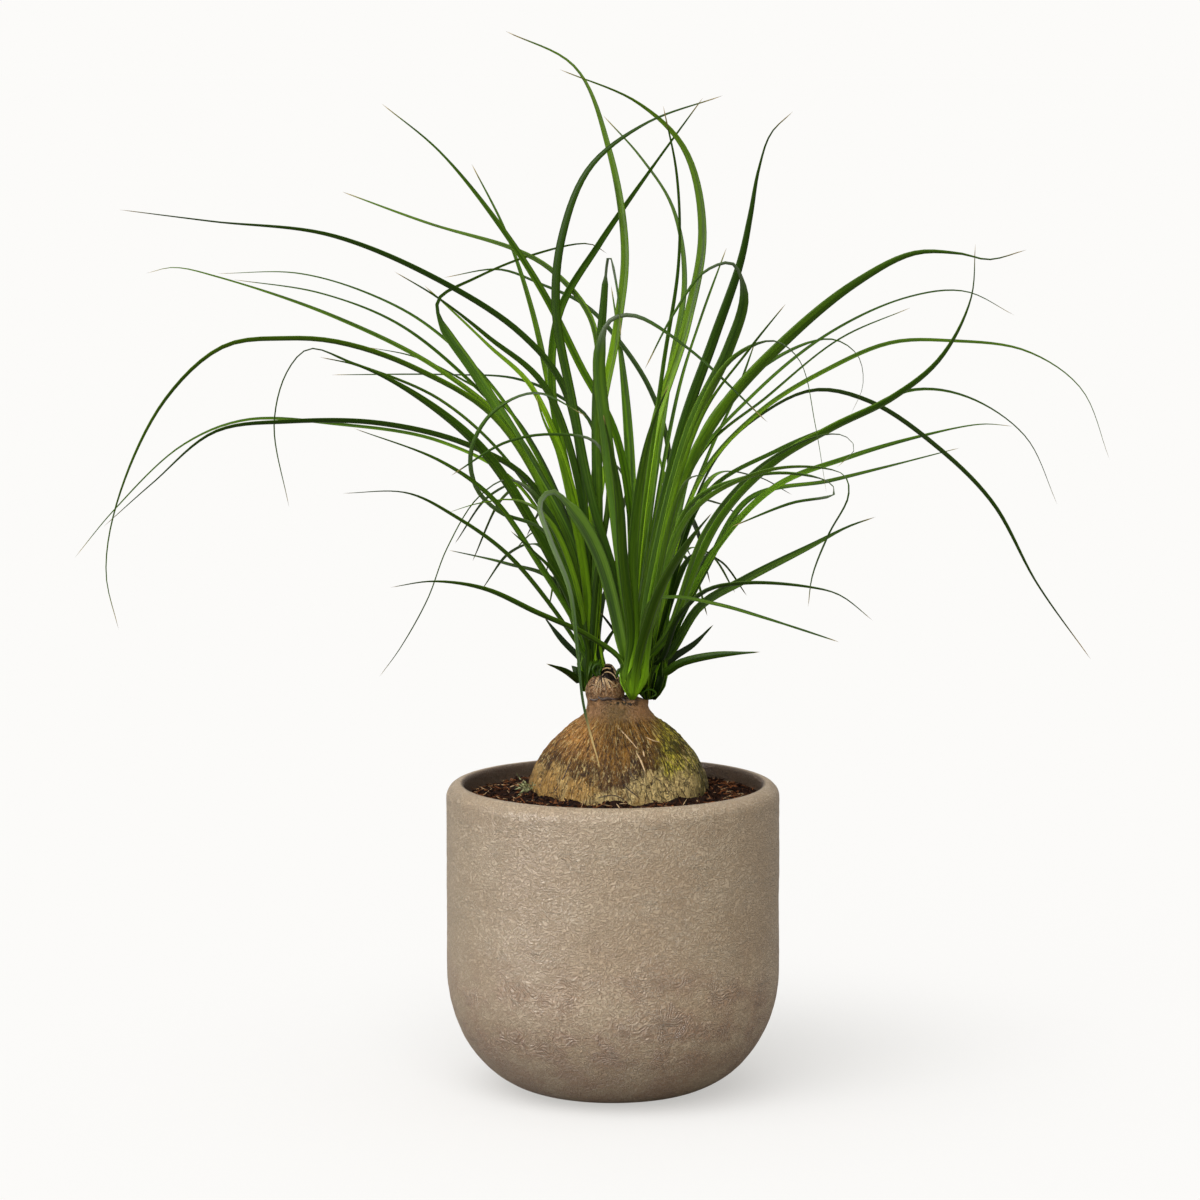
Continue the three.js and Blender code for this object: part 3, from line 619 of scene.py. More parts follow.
# A row gives a leaf's width, how far its tip stands behind its root, how far its face turns to the front from
# 0 to 1, and its course as it is seen from the front: across and up, from above the root to the tip.
left_leaves = [
    (4.4, -60, 0.45, (-14, 292), (-25, 359), (-46, 386), (-87, 413), (-142, 436), (-201, 443),
     (-248, 449)),
    (3.4, 110, 0.4, (-20, 272), (-47, 333), (-87, 368), (-140, 395), (-198, 415), (-221, 420), (-235, 417)),
    (2.3, 160, 0.3, (-21, 282), (-55, 352), (-91, 389), (-121, 406), (-158, 417), (-199, 417)),
    (2.7, 60, 0.35, (-22, 272), (-51, 338), (-77, 367), (-109, 392), (-147, 407), (-191, 414)),
    (2.2, 190, 0.3, (-20, 282), (-51, 346), (-77, 364), (-100, 375), (-124, 380)),
    (4.4, -110, 0.45, (-19, 262), (-57, 341), (-100, 369), (-138, 382), (-165, 384), (-196, 380),
     (-226, 353), (-250, 304), (-257, 266), (-251, 236)),
    (2.7, -35, 0.4, (-21, 264), (-50, 318), (-87, 353), (-132, 372), (-153, 379), (-164, 368),
     (-171, 341), (-164, 299)),
    (5.8, -90, 0.6, (-18, 241), (-46, 299), (-69, 331), (-100, 356), (-127, 370), (-148, 375)),
    (4.8, -60, 0.45, (-17, 252), (-42, 311), (-73, 330), (-117, 341), (-164, 342), (-201, 337),
     (-233, 311), (-258, 289)),
    (2.7, 25, 0.4, (-19, 252), (-47, 309), (-87, 332), (-140, 341), (-186, 343), (-218, 330),
     (-252, 298), (-273, 273)),
    (3.7, -85, 0.4, (-16, 231), (-38, 270), (-61, 303), (-87, 322), (-131, 339)),
    (3.1, -120, 0.4, (-15, 223), (-35, 253), (-55, 276), (-80, 294), (-104, 306), (-137, 306)),
    (3.7, -88, 0.5, (-17, 252), (-33, 296), (-52, 313), (-68, 304), (-84, 278), (-94, 252), (-108, 227),
     (-119, 212)),
    (3.1, 80, 0.4, (-12, 282), (-7, 353), (-11, 394), (-30, 418), (-49, 429), (-92, 442), (-136, 458)),
    (3.4, 120, 0.5, (-18, 282), (-30, 348), (-41, 399), (-54, 438), (-71, 472)),
    (4.4, 70, 0.5, (-17, 282), (-31, 361), (-27, 398), (-7, 432), (18, 468), (45, 505)),
    (4.1, -30, 0.4, (-13, 282), (-34, 359), (-63, 385), (-87, 404), (-110, 418)),
    (3.4, 40, 0.4, (-15, 282), (-40, 358), (-63, 381), (-85, 402), (-95, 411)),
    (6.1, 60, 0.6, (-18, 272), (-44, 325), (-70, 367), (-87, 393), (-88, 404), (-69, 415), (-42, 426),
     (-12, 432), (-3, 427)),
    (3.4, -85, 0.5, (-15, 241), (-36, 287), (-57, 296), (-69, 308), (-72, 327), (-61, 347), (-39, 357),
     (-13, 345)),
    (3.1, -60, 0.5, (-9, 257), (-2, 313), (-9, 332), (-30, 336), (-54, 332), (-82, 315)),
    (3.1, -50, 0.4, (-15, 241), (-31, 290), (-47, 302), (-67, 301), (-84, 296)),
    (4.8, -40, 0.6, (-13, 252), (-27, 325), (-35, 343), (-39, 356)),
    (3.4, 150, 0.4, (-13, 226), (-30, 261), (-54, 270), (-83, 277)),
    (2.7, -60, 0.4, (-13, 226), (-29, 264), (-40, 276), (-52, 287)),
    (3.7, 60, 0.4, (-14, 217), (-26, 231), (-35, 243)),
    (2.7, 120, 0.4, (-15, 231), (-29, 257), (-42, 278), (-55, 298)),
    (3.7, -30, 0.9, (-15, 209), (-24, 215), (-34, 219)),
    (2.4, 130, 0.3, (-8, 272), (-11, 341), (-27, 355), (-49, 364), (-82, 366), (-142, 366)),
    (4.6, 60, 0.6, (-7, 262), (-7, 338), (2, 389), (6, 429), (-2, 479), (-19, 520), (-54, 538)),
    (5.4, -60, 0.6, (-8, 272), (-8, 353), (-5, 399), (-2, 426), (2, 409), (4, 384)),
    (2.7, 30, 0.4, (-6, 225), (-1, 234), (5, 242)),
    (3.4, 90, 0.4, (-8, 231), (-5, 252), (0, 267)),
]
# Fans of arching leaves that the front view doesn't show one by one: how many, their bearings in degrees, and
# the ranges of their reach, their rise above the root and the fall of their tips.
left_fans = [(6, (82, 116), (150, 205), (88, 125), (20, 60)), (5, (86, 118), (100, 145), (62, 88), (20, 50))]
fan_course = ((0.14, 0.5, 0), (0.4, 0.93, 0), (0.72, 0.96, 0.25), (1, 1, 1))
sheath_width = 9.5
sheath_length = 14
fold_length = 16
blade_thickness = 0.24
finest_blade = 1.4
finest_tip = 0.4
widest_share = 0.4
leaf_fresh = "#84b012"
leaf_green = "#4c7609"
leaf_deep = "#1a3202"
leaf_painted_shade = "#081601"
leaf_stripe = "#7c9a2f"
leaf_under = "#46691c"
leaf_sheen_and_withered_grey = "#87907a"
leaf_young_base_and_glow = "#79a81a"
leaf_tip = "#a88f5c"

striped_leaf, tree, shader = new_material("striped_leaf")
lane = stored("ruler")
along = split(lane)[1]
sideways, withered, underside = split(stored("side"))
youth, fresh_glow_and_shade, sheen_and_grey = split(stored("looks"))
veins = speckle(lane, (2.6, 0.012, 37), 3, 0.6)
bands = speckle(lane, (0.55, 0.006, 61), 2, 0.5)
mottle = speckle(lane, (0.3, 0.035, 17), 3, 0.6)
off_middle = away_from(0, sideways)
colour = painted(
    leaf_deep,
    (between(youth, 0, 0.55, 0.12, 1), leaf_green),
    (between(youth, 0.5, 1), leaf_fresh),
    (times(between(youth, 0, 1, 0.25, 1), between(bands, 0.46, 0.58, 0, 0.7)), leaf_fresh),
    (between(bands, 0.44, 0.34, 0, 0.7), leaf_deep),
    (between(mottle, 0.5, 0.34, 0, 0.5), leaf_deep),
    (between(veins, 0.53, 0.68, 0, 0.35), leaf_stripe),
    (between(veins, 0.48, 0.3, 0, 0.6), leaf_deep),
    (times(underside, 0.35), leaf_under),
    # Painted sheen where a leaf folds over, and the dull colour of dying leaves.
    (times(sheen_and_grey, 0.8), leaf_sheen_and_withered_grey),
    (between(along, 100, 240, 0, 0.7), leaf_deep),
    # Painted shade at the feet of leaves that lie deep in the rosette, at its back or hanging low.
    (between(fresh_glow_and_shade, 0, -1, 0, 0.95), leaf_painted_shade),
    # The pale yellow green of young leaf feet, with a painted glow of light through them.
    (between(fresh_glow_and_shade, 0, 1), leaf_young_base_and_glow),
    # Painted highlight along the edges of each blade, and painted shade down its folded middle.
    (between(off_middle, 0.84, 1, 0, 0.3), leaf_stripe),
    (between(off_middle, 0.2, 0, 0, 0.25), leaf_deep),
    (withered, leaf_tip),
)
relief = bump(plus(veins, bands), 0.16, 0.7)
finish_surface(shader, colour, between(veins, 0.3, 0.7, 0.38, 0.52), 0.07, relief)


def seen_at(across, up, depth):
    """The point at a depth behind the pot's axis that the front view shows at (across, up)."""
    on_plane = np.array((across, 0.0, up))
    sight = on_plane - viewpoint
    return on_plane + sight * (depth / sight[1])


def leaf_course(head, tip_depth, seen):
    """A leaf's course in space. It comes forward or goes back more and more, as a bent-over leaf does."""
    flat = np.array([(head[0], head[2]), *seen], float)
    reached = np.cumsum(np.hypot(*np.diff(flat, axis=0).T))
    shares = reached / reached[-1]
    return [seen_at(x, z, head[1] + tip_depth * s**1.4) for (x, z), s in zip(seen, shares)]


def fan_leaves(head, fans, seed=1807):
    """The leaves of the fans, drawn in a fixed order from a seed."""
    leaves = []

    def draw(low, high):
        nonlocal seed
        seed = seed * 48271 % 2147483647
        return low + (high - low) * seed / 2147483647

    for count, bearing, reach, rise, fall in fans:
        step = (bearing[1] - bearing[0]) / count
        for i in range(count):
            angle = math.radians(bearing[0] + step * (i + draw(0.2, 0.8)))
            ahead = draw(*reach) * np.array((math.cos(angle), math.sin(angle), 0))
            high, drop = draw(*rise), draw(*fall)
            course = [head + ahead * out + (0, 0, high * up - drop * sag) for out, up, sag in fan_course]
            leaves.append((draw(3.2, 5.2), 0.0, course))
    return leaves


def smooth_line(course, spacing=4.5):
    """Evenly spaced points on a smooth line through the course, which doesn't overshoot at sharp bends."""
    course = np.array(course)
    ends = np.vstack([2 * course[0] - course[1], course, 2 * course[-1] - course[-2]])
    line = []
    for near in zip(ends, ends[1:], ends[2:], ends[3:]):
        knots = np.cumsum([0, *(math.dist(a, b) ** 0.5 for a, b in zip(near, near[1:]))])
        t = np.linspace(knots[1], knots[2], 40, endpoint=False)[:, None]
        for spans in (((0, 1), (1, 2), (2, 3)), ((0, 2), (1, 3)), ((1, 2),)):
            near = [(a * (knots[j] - t) + b * (t - knots[i])) / (knots[j] - knots[i])
                    for a, b, (i, j) in zip(near, near[1:], spans)]
        line.append(near[0])
    line = np.vstack([*line, course[-1:]])
    reached = np.concatenate([[0], np.cumsum(np.linalg.norm(np.diff(line, axis=0), axis=1))])
    steps = int(np.clip(reached[-1] / spacing, 12, 72))
    even = np.linspace(0, reached[-1], steps + 1)
    return np.stack([np.interp(even, reached, line[:, k]) for k in range(3)], 1), even


def one_long(vectors):
    """The vectors, each brought to a length of 1."""
    return vectors / np.linalg.norm(vectors, axis=-1, keepdims=True)


def width_share(share):
    """A leaf's width at a share of its length: narrow at the sheath, widest before its middle, a fine tip."""
    rising = 0.75 + 0.25 * np.sin(math.pi / 2 * np.minimum(share / widest_share, 1))
    falling = (1 - np.clip((share - widest_share) / (1 - widest_share), 0, 1) ** 3) ** 1.7
    return rising * falling


def leaf_mesh(head, head_radius, freshness, bearing, width, facing, course, number):
    """One leaf: its points and faces, and what each point keeps for the stripes and colours."""
    outward = np.array((math.cos(bearing), math.sin(bearing), 0))
    away = course[0] - head
    spread = np.clip(np.hypot(away[0], away[1]) / away[2] * 1.6, 0.12, 1)
    foot = head + outward * head_radius + (0, 0, 0.2 - 1.1 * (1 - freshness))
    root = head + outward * (2 + 5.5 * spread) + (0, 0, 9 + 5 * (number * 7 % 1))
    line, reached = smooth_line([foot, root, *course])
    share = reached / reached[-1]
    middle = len(line) // 2
    dying = np.clip((root[2] - line[-1][2]) / 20, 0, 1)

    # The blade lies level across its course, and turns its face to the front as far as its row says.
    tangent = one_long(np.gradient(line, axis=0))
    level = one_long(np.cross((line[middle] - root) * (1, 1, 0), (0, 0, 1)))
    shown = np.cross(tangent, (0, -1, 0))
    turn = np.clip(share / 0.14, 0, 1)
    turn = (max(facing, 0.9 * dying) * turn * turn * (3 - 2 * turn))[:, None]
    handed = -1 if shown[middle] @ level < 0 else 1
    flat = level - (tangent @ level)[:, None] * tangent
    across = one_long(flat * (1 - turn) + shown * handed * turn)
    face = np.cross(across, tangent)

    # Where a long leaf folds over sharply it gets a painted pale sheen, and it stays narrow from there to its
    # tip.
    turning = np.linalg.norm(np.gradient(tangent, reached, axis=0), axis=1)
    bent = np.clip(np.convolve(np.pad(turning, 2, "edge"), np.ones(5) / 5, "valid") * 30 - 0.6, 0, 1)
    bent *= (share > 0.35) * (reached[-1] > 150)
    dull = max(dying, 0.5 * bent.max())
    finest = finest_blade - (finest_blade - finest_tip) * np.clip((share - 0.86) / 0.14, 0, 1) ** 1.5
    sheath = sheath_width * np.exp(-(np.maximum(reached - 5, 0) / sheath_length) ** 2)
    blade = width * width_share(share) * (1 - 0.6 * np.maximum.accumulate(bent))
    half = np.maximum(np.maximum(blade, finest), sheath)[:, None] / 2
    half *= 0.15 + 0.85 * np.clip(reached / sheath_length, 0, 1)[:, None]
    thick = blade_thickness * np.minimum(1, half / 1.2)
    fold = (0.26 + 0.74 * np.exp(-reached / fold_length))[:, None]
    around = np.concatenate([np.linspace(-1, 1, 9), np.linspace(1, -1, 9)[1:-1]])
    is_below = np.arange(len(around)) > 8
    belly = np.sqrt(1 - around**2) * np.where(is_below, -1, 1)
    ridge = 0.12 * np.exp(-((around / 0.16) ** 2)) * is_below
    up = half * fold * np.abs(around) ** 1.35 + thick * (belly - ridge)
    ring = line[:, None] + across[:, None] * (half * around)[..., None] + face[:, None] * up[..., None]
    points = np.vstack([ring[:-1].reshape(-1, 3), line[-1:]])
    corner, beside, faces = ring_faces(len(line) - 1, len(around))
    faces = [(a, d, c, b) for a, b, c, d in faces]
    faces += [(a, corner.size, b) for a, b in zip(corner[-1], beside[-1])] + [tuple(corner[0])]

    edge = np.where(np.abs(around) > 0.99, 0.5, is_below)
    withered = np.clip((share - 0.96 + 0.07 * dying) / 0.04, 0, 1)
    fading = np.clip(np.minimum(share * 8 - 3.2, (0.7 - share) * 8), 0, 0.8)
    sheen_and_grey = np.maximum(bent[:, None] * edge, (dying * 0.5 * fading + 0.12 * dull)[:, None])
    climbs = (line[middle][2] - root[2]) / np.linalg.norm(line[middle] - root)
    youth = np.clip(climbs * 1.1 - 0.45 + (number - 0.5) * 1.1, 0, 1) * (1 - 0.7 * dull)
    # Young leaves of a new shoot are paler at their feet, and there a painted glow of light through the leaf
    # is added.
    fresh_glow_and_shade = freshness * (0.3 + 0.7 * number) * (1 - 0.8 * dull) * np.exp(-reached / 75)
    fresh_glow_and_shade += 0.8 * freshness * np.exp(-((reached / 26) ** 2))
    # Painted shade: darker feet for the leaves of old heads and those facing back, and for some leaves drawn
    # at random, and darker leaves where they hang low.
    fresh_glow_and_shade -= (1 - 0.75 * freshness) * (0.55 + 0.5 * outward[1]) * np.exp(-reached / 110)
    fresh_glow_and_shade -= 0.55 * (number < 0.3) * np.exp(-reached / 120)
    fresh_glow_and_shade -= 0.8 * np.clip(0.65 - climbs, 0, 0.65)
    kept = (half * around, reached[:, None], number, around, withered[:, None], edge,
            youth, fresh_glow_and_shade[:, None], sheen_and_grey)
    kept = np.stack(np.broadcast_arrays(*kept), -1)[:-1].reshape(-1, 9)
    return points, faces, np.vstack([kept, (0, reached[-1], number, 0, 1, 0, youth, 0, 0)])


def make_head(name, cad_node, head, head_radius, freshness, leaves, fans):
    """A rosette: its rolled young leaves in the middle, and round them the leaves of its rows and fans."""
    rolled = [(0, 0), (head_radius, 0), (head_radius + 0.7, 3), (2.8, 9), (2.4, 17), (1.6, 28), (0, 38)]
    points, faces = turned(rolled, 28, head[:2])
    points[:, 2] += head[2]
    round_way = np.arctan2(points[:, 1] - head[1], points[:, 0] - head[0]) * 4
    # The rolled leaves of an old head get painted shade, and those of a new one the pale colour and painted
    # glow of young feet.
    kept = (round_way, points[:, 2] - head[2], 0.5, 0.5, 0, 0, 0.4, freshness - 0.6, 0)
    bodies, all_kept = [(points, faces)], [np.stack(np.broadcast_arrays(*kept), -1)]
    all_leaves = [(width, facing, leaf_course(head, depth, seen)) for width, depth, facing, *seen in leaves]
    all_leaves += fan_leaves(head, fans)
    ways = [(course[1] - head, course[-1] - head) for _, _, course in all_leaves]
    headings = [math.atan2(tip[1] * 1.6 - 12, bend[0]) for bend, tip in ways]
    turns = np.argsort(np.argsort(headings)) / len(all_leaves)
    for order, leaf in enumerate(all_leaves):
        bearing = math.tau * turns[order] - math.pi
        points, faces, kept = leaf_mesh(head, head_radius, freshness, bearing, *leaf, order * 0.7549 % 1)
        bodies.append((points, faces))
        all_kept.append(kept)
    made = make_object(name, *joined(bodies), striped_leaf)
    for first, key in ((0, "ruler"), (3, "side"), (6, "looks")):
        keep_values(made, key, np.vstack(all_kept)[:, first : first + 3])
    stands_for(made, cad_node)


make_head("left_leaf_rosette", "left_head_leaves", head_left, 2.2, 0.0, left_leaves, left_fans)


# ---- Front head of leaves
# The middle shoot, nearest to the viewer. Its leaves stand most upright and are the widest of the plant, and
# its youngest ones are a fresh yellow green where they come out of the sheaths, with a painted glow of light
# through them there.

front_leaves = [
    (4.1, -75, 0.5, (4, 220), (-13, 233), (-39, 245), (-65, 257), (-91, 261), (-113, 258)),
    (7, -60, 0.7, (4, 231), (-7, 274), (-20, 297), (-31, 307), (-37, 301), (-32, 283), (-22, 257),
     (-18, 226), (-15, 198), (-6, 163)),
    (6.6, -60, 0.8, (8, 231), (2, 289), (-4, 338), (-7, 376), (-2, 393), (10, 396), (37, 380), (78, 342)),
    (4.4, 40, 0.5, (11, 252), (2, 333), (-17, 371), (-34, 405), (-57, 441), (-87, 478), (-116, 502)),
    (5.1, -45, 0.6, (5, 246), (-11, 303), (-21, 353), (-29, 399), (-26, 435), (-12, 470), (16, 492),
     (55, 506)),
    (5.4, 20, 0.7, (11, 252), (21, 338), (37, 391), (45, 439), (36, 479), (13, 502), (-27, 519)),
    (3.4, 90, 0.5, (14, 262), (28, 363), (36, 414), (30, 450), (14, 475), (-5, 496)),
    (2.3, -50, 0.4, (12, 262), (25, 368), (33, 423), (32, 466), (25, 501)),
    (5.8, -30, 0.65, (16, 252), (35, 338), (51, 384), (64, 422), (69, 446), (73, 469), (79, 487),
     (90, 498)),
    (6.2, -110, 0.7, (18, 252), (39, 338), (58, 378), (66, 406), (60, 422), (46, 418), (30, 396),
     (16, 369)),
    (5.4, 110, 0.7, (10, 241), (9, 313), (6, 358), (2, 391), (-1, 411)),
    (5.1, -130, 0.7, (11, 231), (10, 272), (14, 313), (20, 341), (28, 361)),
    (5.1, -120, 0.7, (9, 231), (5, 272), (3, 303), (-1, 328), (-5, 346)),
    (5.1, 90, 0.7, (12, 241), (16, 282), (21, 318), (25, 343), (26, 361)),
    (6.4, -40, 0.65, (18, 241), (34, 308), (55, 348), (89, 385), (122, 412), (151, 427), (174, 427),
     (189, 424), (208, 429)),
    (2.4, 60, 0.4, (20, 252), (39, 318), (72, 357), (109, 387), (148, 405), (177, 408), (202, 396)),
    (2.3, 45, 0.35, (20, 252), (44, 325), (78, 355), (114, 384), (150, 400)),
    (3.1, -120, 0.5, (19, 252), (41, 341), (60, 374), (81, 383), (94, 373), (102, 341), (108, 306)),
    (2.3, -90, 0.4, (19, 252), (44, 343), (68, 378), (87, 402)),
    (2.2, 90, 0.4, (16, 262), (33, 358), (44, 394), (57, 430)),
    (4.1, -100, 0.5, (14, 231), (19, 250), (30, 253), (54, 249), (78, 242), (115, 230)),
    (4.4, -150, 0.3, (19, 236), (39, 295), (74, 316), (102, 319), (117, 315), (119, 305), (109, 285),
     (101, 264), (99, 248)),
    (3.1, -120, 0.5, (19, 236), (39, 300), (64, 313), (89, 316), (110, 311), (112, 306), (90, 301),
     (60, 289)),
    (3.1, -100, 0.4, (21, 252), (36, 311), (43, 315), (52, 313)),
    (5.1, -140, 0.6, (14, 226), (24, 257), (39, 282), (50, 296)),
]
make_head("front_leaf_rosette", "front_head_leaves", head_front, 1.0, 1.0, front_leaves, [])


# ---- Back head of leaves
# The shoot on the right of the neck, behind the front one. Its leaves are older and darker, with painted
# shade at their feet, and most of them arch far out to the right and the back.

back_leaves = [
    (2.7, 130, 0.4, (26, 262), (28, 328), (19, 358), (3, 383), (-14, 401), (-37, 412), (-57, 419),
     (-85, 415)),
    (3.4, 60, 0.4, (26, 252), (44, 313), (74, 347), (109, 369), (140, 382), (170, 383), (208, 378),
     (236, 359), (251, 323)),
    (6.3, -20, 0.5, (27, 231), (54, 292), (81, 321), (111, 339), (141, 354), (165, 374), (180, 404),
     (182, 432)),
    (3.1, 60, 0.4, (26, 241), (47, 305), (84, 328), (119, 343), (150, 358), (178, 355), (208, 335),
     (225, 300)),
    (4.1, 110, 0.4, (26, 252), (52, 323), (77, 347), (102, 358), (130, 352), (164, 329), (192, 301),
     (215, 260), (243, 221)),
    (4.1, 130, 0.4, (28, 231), (54, 280), (82, 309), (119, 324), (156, 335), (186, 341), (202, 340)),
    (3.7, 170, 0.4, (28, 226), (47, 267), (69, 303), (109, 312), (133, 318), (175, 329)),
    (4.8, 30, 0.7, (28, 223), (44, 248), (67, 262), (100, 279), (119, 289), (133, 294)),
    (3.7, -60, 0.5, (25, 221), (33, 242), (47, 256), (67, 260), (100, 258), (115, 254), (132, 241)),
    (3.1, 40, 0.4, (26, 252), (46, 338), (77, 371), (109, 384), (123, 376), (126, 361), (120, 346)),
    (3.1, -90, 0.4, (28, 236), (47, 287), (74, 319), (104, 335), (117, 335), (122, 329), (113, 319)),
    (2.2, 150, 0.4, (26, 262), (48, 325), (62, 356), (72, 384)),
    (3.7, 60, 0.9, (25, 217), (32, 223), (41, 229), (51, 239)),
    (4.4, -40, 0.9, (24, 213), (34, 219), (50, 223), (75, 225)),
    (4.1, 130, 0.4, (25, 217), (32, 231), (42, 245), (51, 254)),
    (4.4, 160, 0.4, (26, 221), (35, 252), (47, 272), (64, 292)),
    (2.7, 40, 0.4, (14, 215), (4, 231), (-7, 246)),
    (4.8, 170, 0.5, (26, 241), (28, 282), (26, 313), (21, 333)),
]
back_fans = [(6, (64, 98), (150, 210), (88, 125), (20, 60)), (5, (58, 88), (100, 145), (62, 88), (20, 50))]
make_head("back_leaf_rosette", "back_head_leaves", head_back, 2.4, 0.0, back_leaves, back_fans)


# ---- Scraps
# What an old plant collects: the curled rim and pale layers of the healed cut on the knob, dry fibres on the
# stem base, torn green sheaths on the knob and at the feet of the right heads, and a tuft of moss.

fibre_tan = "#c9a878"
fibre_brown = "#38220f"
fresh_moss = "#a3a873"
knob_top = np.array((-5.5, 211.5))
loose_fibres = 26
moss_foot = np.array((-43.6, -13.0, 156.0))
moss_sprigs = 70

dry_fibre, tree, shader = new_material("dry_fibre")
mottle = speckle(in_millimetres(), 0.8, 3, 0.6)
layers = ((stored("tone", "Fac"), fibre_tan), (between(mottle, 0.5, 0.35, 0, 0.5), fibre_brown))
finish_surface(shader, painted(fibre_brown, *layers), 0.7, 0.5, bump(mottle, 0.2, 0.8))
stem_faces = [tuple(face.vertices) for face in stem.data.polygons]
stem_skin = BVHTree.FromPolygons([Vector(p) for p in points_of_stem], stem_faces)


def on_stem(across, up, lift=0.15):
    """The point that the front view shows at (across, up), just above the stem base's skin."""
    sight = Vector((across, 0.0, up)) - Vector(viewpoint)
    place, normal, _, _ = stem_skin.ray_cast(Vector(viewpoint), sight.normalized())
    if place is None:
        place, normal, _, _ = stem_skin.find_nearest(Vector((across, 0.0, up)))
    return np.array(place + normal * lift)


def strand(course, radius):
    """A closed thin tube along a course, drawn out to a point at both ends."""
    line, reached = smooth_line(course, spacing=0.8)
    tangent = one_long(np.gradient(line, axis=0))
    first = one_long(np.cross(tangent, (0.3, 1, 0.2)))
    second = np.cross(tangent, first)
    swell = radius * np.sin(np.clip(reached / reached[-1], 0.03, 0.97) * math.pi)[:, None, None] ** 0.4
    turn = np.linspace(0, math.tau, 7)[:-1, None]
    ring = line[:, None] + swell * (first[:, None] * np.cos(turn) + second[:, None] * np.sin(turn))
    corner, _, faces = ring_faces(len(line), 6)
    return ring.reshape(-1, 3), faces + [tuple(corner[0][::-1]), tuple(corner[-1])]


def make_strands(name, strands, material):
    """One piece of many strands, each given by its radius, its tone and its course."""
    bodies = [strand(course, radius) for radius, _, course in strands]
    made = make_object(name, *joined(bodies), material)
    tones = [np.full(len(points), tone) for (points, _), (_, tone, _) in zip(bodies, strands)]
    keep_values(made, "tone", np.concatenate(tones))
    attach(made, "root")


# Each row gives a radius, a tone from 0, dark, to 1, pale, and the course as the front view shows it.
dry_rows = [
    (0.7, 0.1, (-7.4, 213.6), (-6.4, 217), (-4, 219.4), (-1, 219.8), (1.6, 218), (2.8, 215), (2.8, 212)),
    (0.5, 1.0, (-6.6, 214.4), (-4.4, 216.4), (-1.6, 216.4), (1.2, 214), (2.4, 211)),
    (0.4, 0.85, (-5.6, 212.8), (-3, 214.6), (-0.4, 213.6), (1.8, 210.8)),
    (0.4, 0.7, (-2.2, 218.2), (0, 217.6), (1.8, 216)),
    (0.45, 0.8, (-5.6, 212), (-1, 209.6), (3, 205.6)),
    (0.5, 1.0, (-0.4, 206.6), (1.4, 207.6), (3, 208.8)),
    (0.35, 0.5, (-11, 208.6), (-8, 207.4), (-5, 205.6)),
    (0.4, 0.8, (2.4, 186), (7.4, 181), (12.6, 174.8)),
    (0.5, 1.0, (12, 173), (14.4, 168.4), (16.4, 163.2)),
    (0.5, 0.9, (15.4, 174), (16, 171)),
    (0.4, 0.85, (17, 181), (20, 179.4), (24, 178.4)),
    (0.32, 0.0, (-21, 169.4), (-23, 165), (-25.3, 160), (-30, 152.6)),
    (0.26, 0.0, (-8.2, 149.6), (-4, 150.7), (1, 151), (5.3, 149), (8.9, 146)),
    (0.26, 0.0, (5.3, 156.8), (8, 154), (11, 151.7), (13.9, 149)),
    (0.22, 0.0, (8.9, 163.3), (10, 160.6), (11.7, 158.9)),
    (0.26, 0.0, (21, 160.3), (24, 158.6), (26.7, 156), (28.8, 151.7)),
    (0.26, 0.0, (34.5, 154.6), (36, 152.4), (37.4, 149.6)),
    (0.22, 0.0, (-36, 160), (-37, 156), (-39, 152)),
    (0.7, 0.0, (-12, 201.2), (-9.6, 200.4), (-7.4, 200.8)),
    (0.9, 0.0, (-7.6, 202), (-5, 200.6), (-2.6, 201.2), (-0.6, 200.2)),
    (0.8, 0.0, (-1.6, 201.6), (1, 200.4), (4, 201), (6.4, 199.6)),
]
for _ in range(loose_fibres):
    top = knob_top + draws.normal(0, (2.2, 0.9))
    fall = draws.uniform(3, 8)
    end = top + ((top[0] - knob_top[0]) * 0.9 + draws.normal(0, 1.2), -fall)
    radius, tone = draws.uniform(0.16, 0.34), draws.choice((0.0, 0.35, 0.75, 1.0))
    dry_rows.append((radius, tone, top, (top + end) / 2, end))
dry_strands = [(radius, tone, [on_stem(x, z) for x, z in seen]) for radius, tone, *seen in dry_rows]
dry_strands.append((0.3, 1.0, [seen_at(x, z, -4) for x, z in ((16.6, 219.6), (16.4, 217), (17.1, 214))]))
make_strands("dry_fibres", dry_strands, dry_fibre)
# The torn sheaths have a depth in place of a tone.
green_rows = [
    (0.95, -6, (-8, 212), (-10.2, 215.4), (-8.4, 218.6), (-6, 218), (-6.4, 214.6)),
    (1.0, -10, (1.6, 211.6), (3.2, 215.8), (5.8, 215.2), (6.4, 211.6)),
    (0.55, -9, (14, 202.6), (17.4, 205.6), (20.6, 205.2), (22, 203.2), (19, 201.4)),
]
green_strands = [(radius, 0.0, [seen_at(x, z, depth) for x, z in seen])
                 for radius, depth, *seen in green_rows]
make_strands("torn_sheaths", green_strands, striped_leaf)

moss_tuft, tree, shader = new_material("moss_tuft")
mottle = speckle(in_millimetres(), 0.7, 2, 0.6)
colour = painted(moss_green, (between(mottle, 0.4, 0.6), fresh_moss))
plug(shader, {"Base Color": colour, "Roughness": 0.8})
sprigs = []
for _ in range(moss_sprigs):
    root = moss_foot + draws.normal(0, (1.6, 3.2, 2.2))
    tip = root + draws.normal(0, 1.6, 3) + (-1.6, -1.2, 0.4)
    sprigs.append((0.32, 0.0, [root, (root + tip) / 2 + draws.normal(0, 0.5, 3), tip]))
make_strands("moss_tuft", sprigs, moss_tuft)


# ---- Studio
# A wide pale table top in an even white room, with a large soft light in front and weaker ones from the left
# and from above. The camera sees the table top bright, with soft shadows, and it throws little light back up.

paper_white = "#fcfbf9"
paper_grey = "#a09c96"
room_light = 0.5
diffuse = 0.36
table_reach = 90000
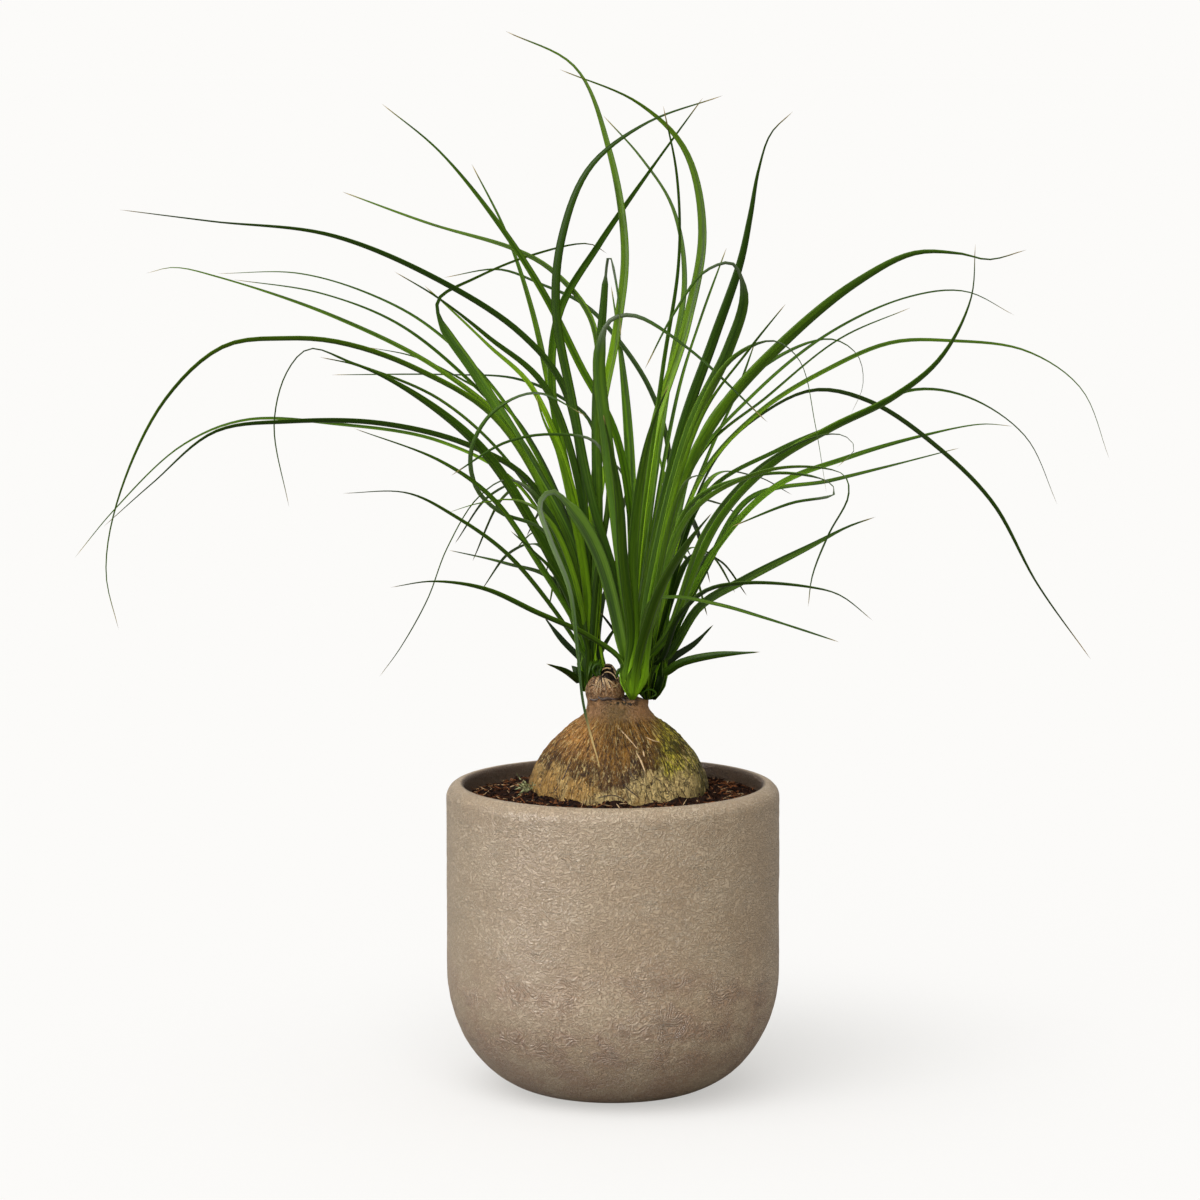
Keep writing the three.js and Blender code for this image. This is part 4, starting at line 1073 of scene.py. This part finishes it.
# Where each light comes from, how many degrees wide it is, and its strength.
sheen_light = ((-0.85, -0.5, 0.2), 34, 8)
lamps = {"key_light": ((-0.28, -0.77, 0.82), 65, 2.5), "side_light": ((-0.5, -0.3, 0.9), 45, 0.5),
         "top_light": ((-0.1, 0.1, 1), 80, 0.35)}

paper, tree, shader = new_material("pale_table_top")
plug(shader, {"Base Color": paper_grey, "Roughness": 0.9, "Specular IOR Level": 0.1})
lit = sum(strength * Vector(source).normalized().z for source, _, strength in lamps.values())
unshaded = diffuse * (room_light + lit / math.pi)
from_pot = node("VectorMath", {0: in_millimetres()}, operation="LENGTH").outputs["Value"]
near_pot = between(from_pot, 140, 360, 1, 0.2)
glow_near = [c - unshaded for c in linear(paper_white)[:3]] + [1.0]
glow = node("Emission", {"Color": painted(paper_white, (near_pot, glow_near)), "Strength": 1.0})
shaded = node("BsdfDiffuse", {"Color": painted("#000000", (near_pot, [diffuse] * 3 + [1.0]))})
seen = node("AddShader", {0: glow.outputs[0], 1: shaded.outputs[0]})


def for_the_camera(usual, seen, output):
    """The camera sees one shader, and everything else gets the light of the usual one."""
    ray = node("LightPath", {}).outputs["Is Camera Ray"]
    chosen = node("MixShader", {0: ray, 1: usual.outputs[0], 2: seen.outputs[0]})
    plug(tree.nodes[output], {"Surface": chosen.outputs[0]})


for_the_camera(shader, seen, "Material Output")
corners = [(x * table_reach, y * table_reach, 0) for x, y in ((-1, -1), (1, -1), (1, 1), (-1, 1))]
table_top = make_object("table_top", corners, [(0, 1, 2, 3)], paper, smooth=False)


def soft_light(name, direction, softness, strength):
    """A far soft light. The direction is where it comes from, and the softness its width in degrees."""
    light = bpy.data.lights.new(name, "SUN")
    light.angle = math.radians(softness)
    light.energy = strength
    made = add_object(name, light)
    made.rotation_euler = Vector(direction).to_track_quat("Z", "Y").to_euler()
    return made


for name, lamp in lamps.items():
    soft_light(name, *lamp)
soft_light("sheen_light", *sheen_light).visible_diffuse = False
world = bpy.data.worlds.new("white_room")
world.use_nodes = True
tree = world.node_tree
room = plug(tree.nodes["Background"], {"Color": "#ffffff", "Strength": room_light})
for_the_camera(room, node("Background", {"Color": paper_white}), "World Output")
scene.world = world
scene.view_settings.view_transform = "Standard"
scene.view_settings.look = "None"
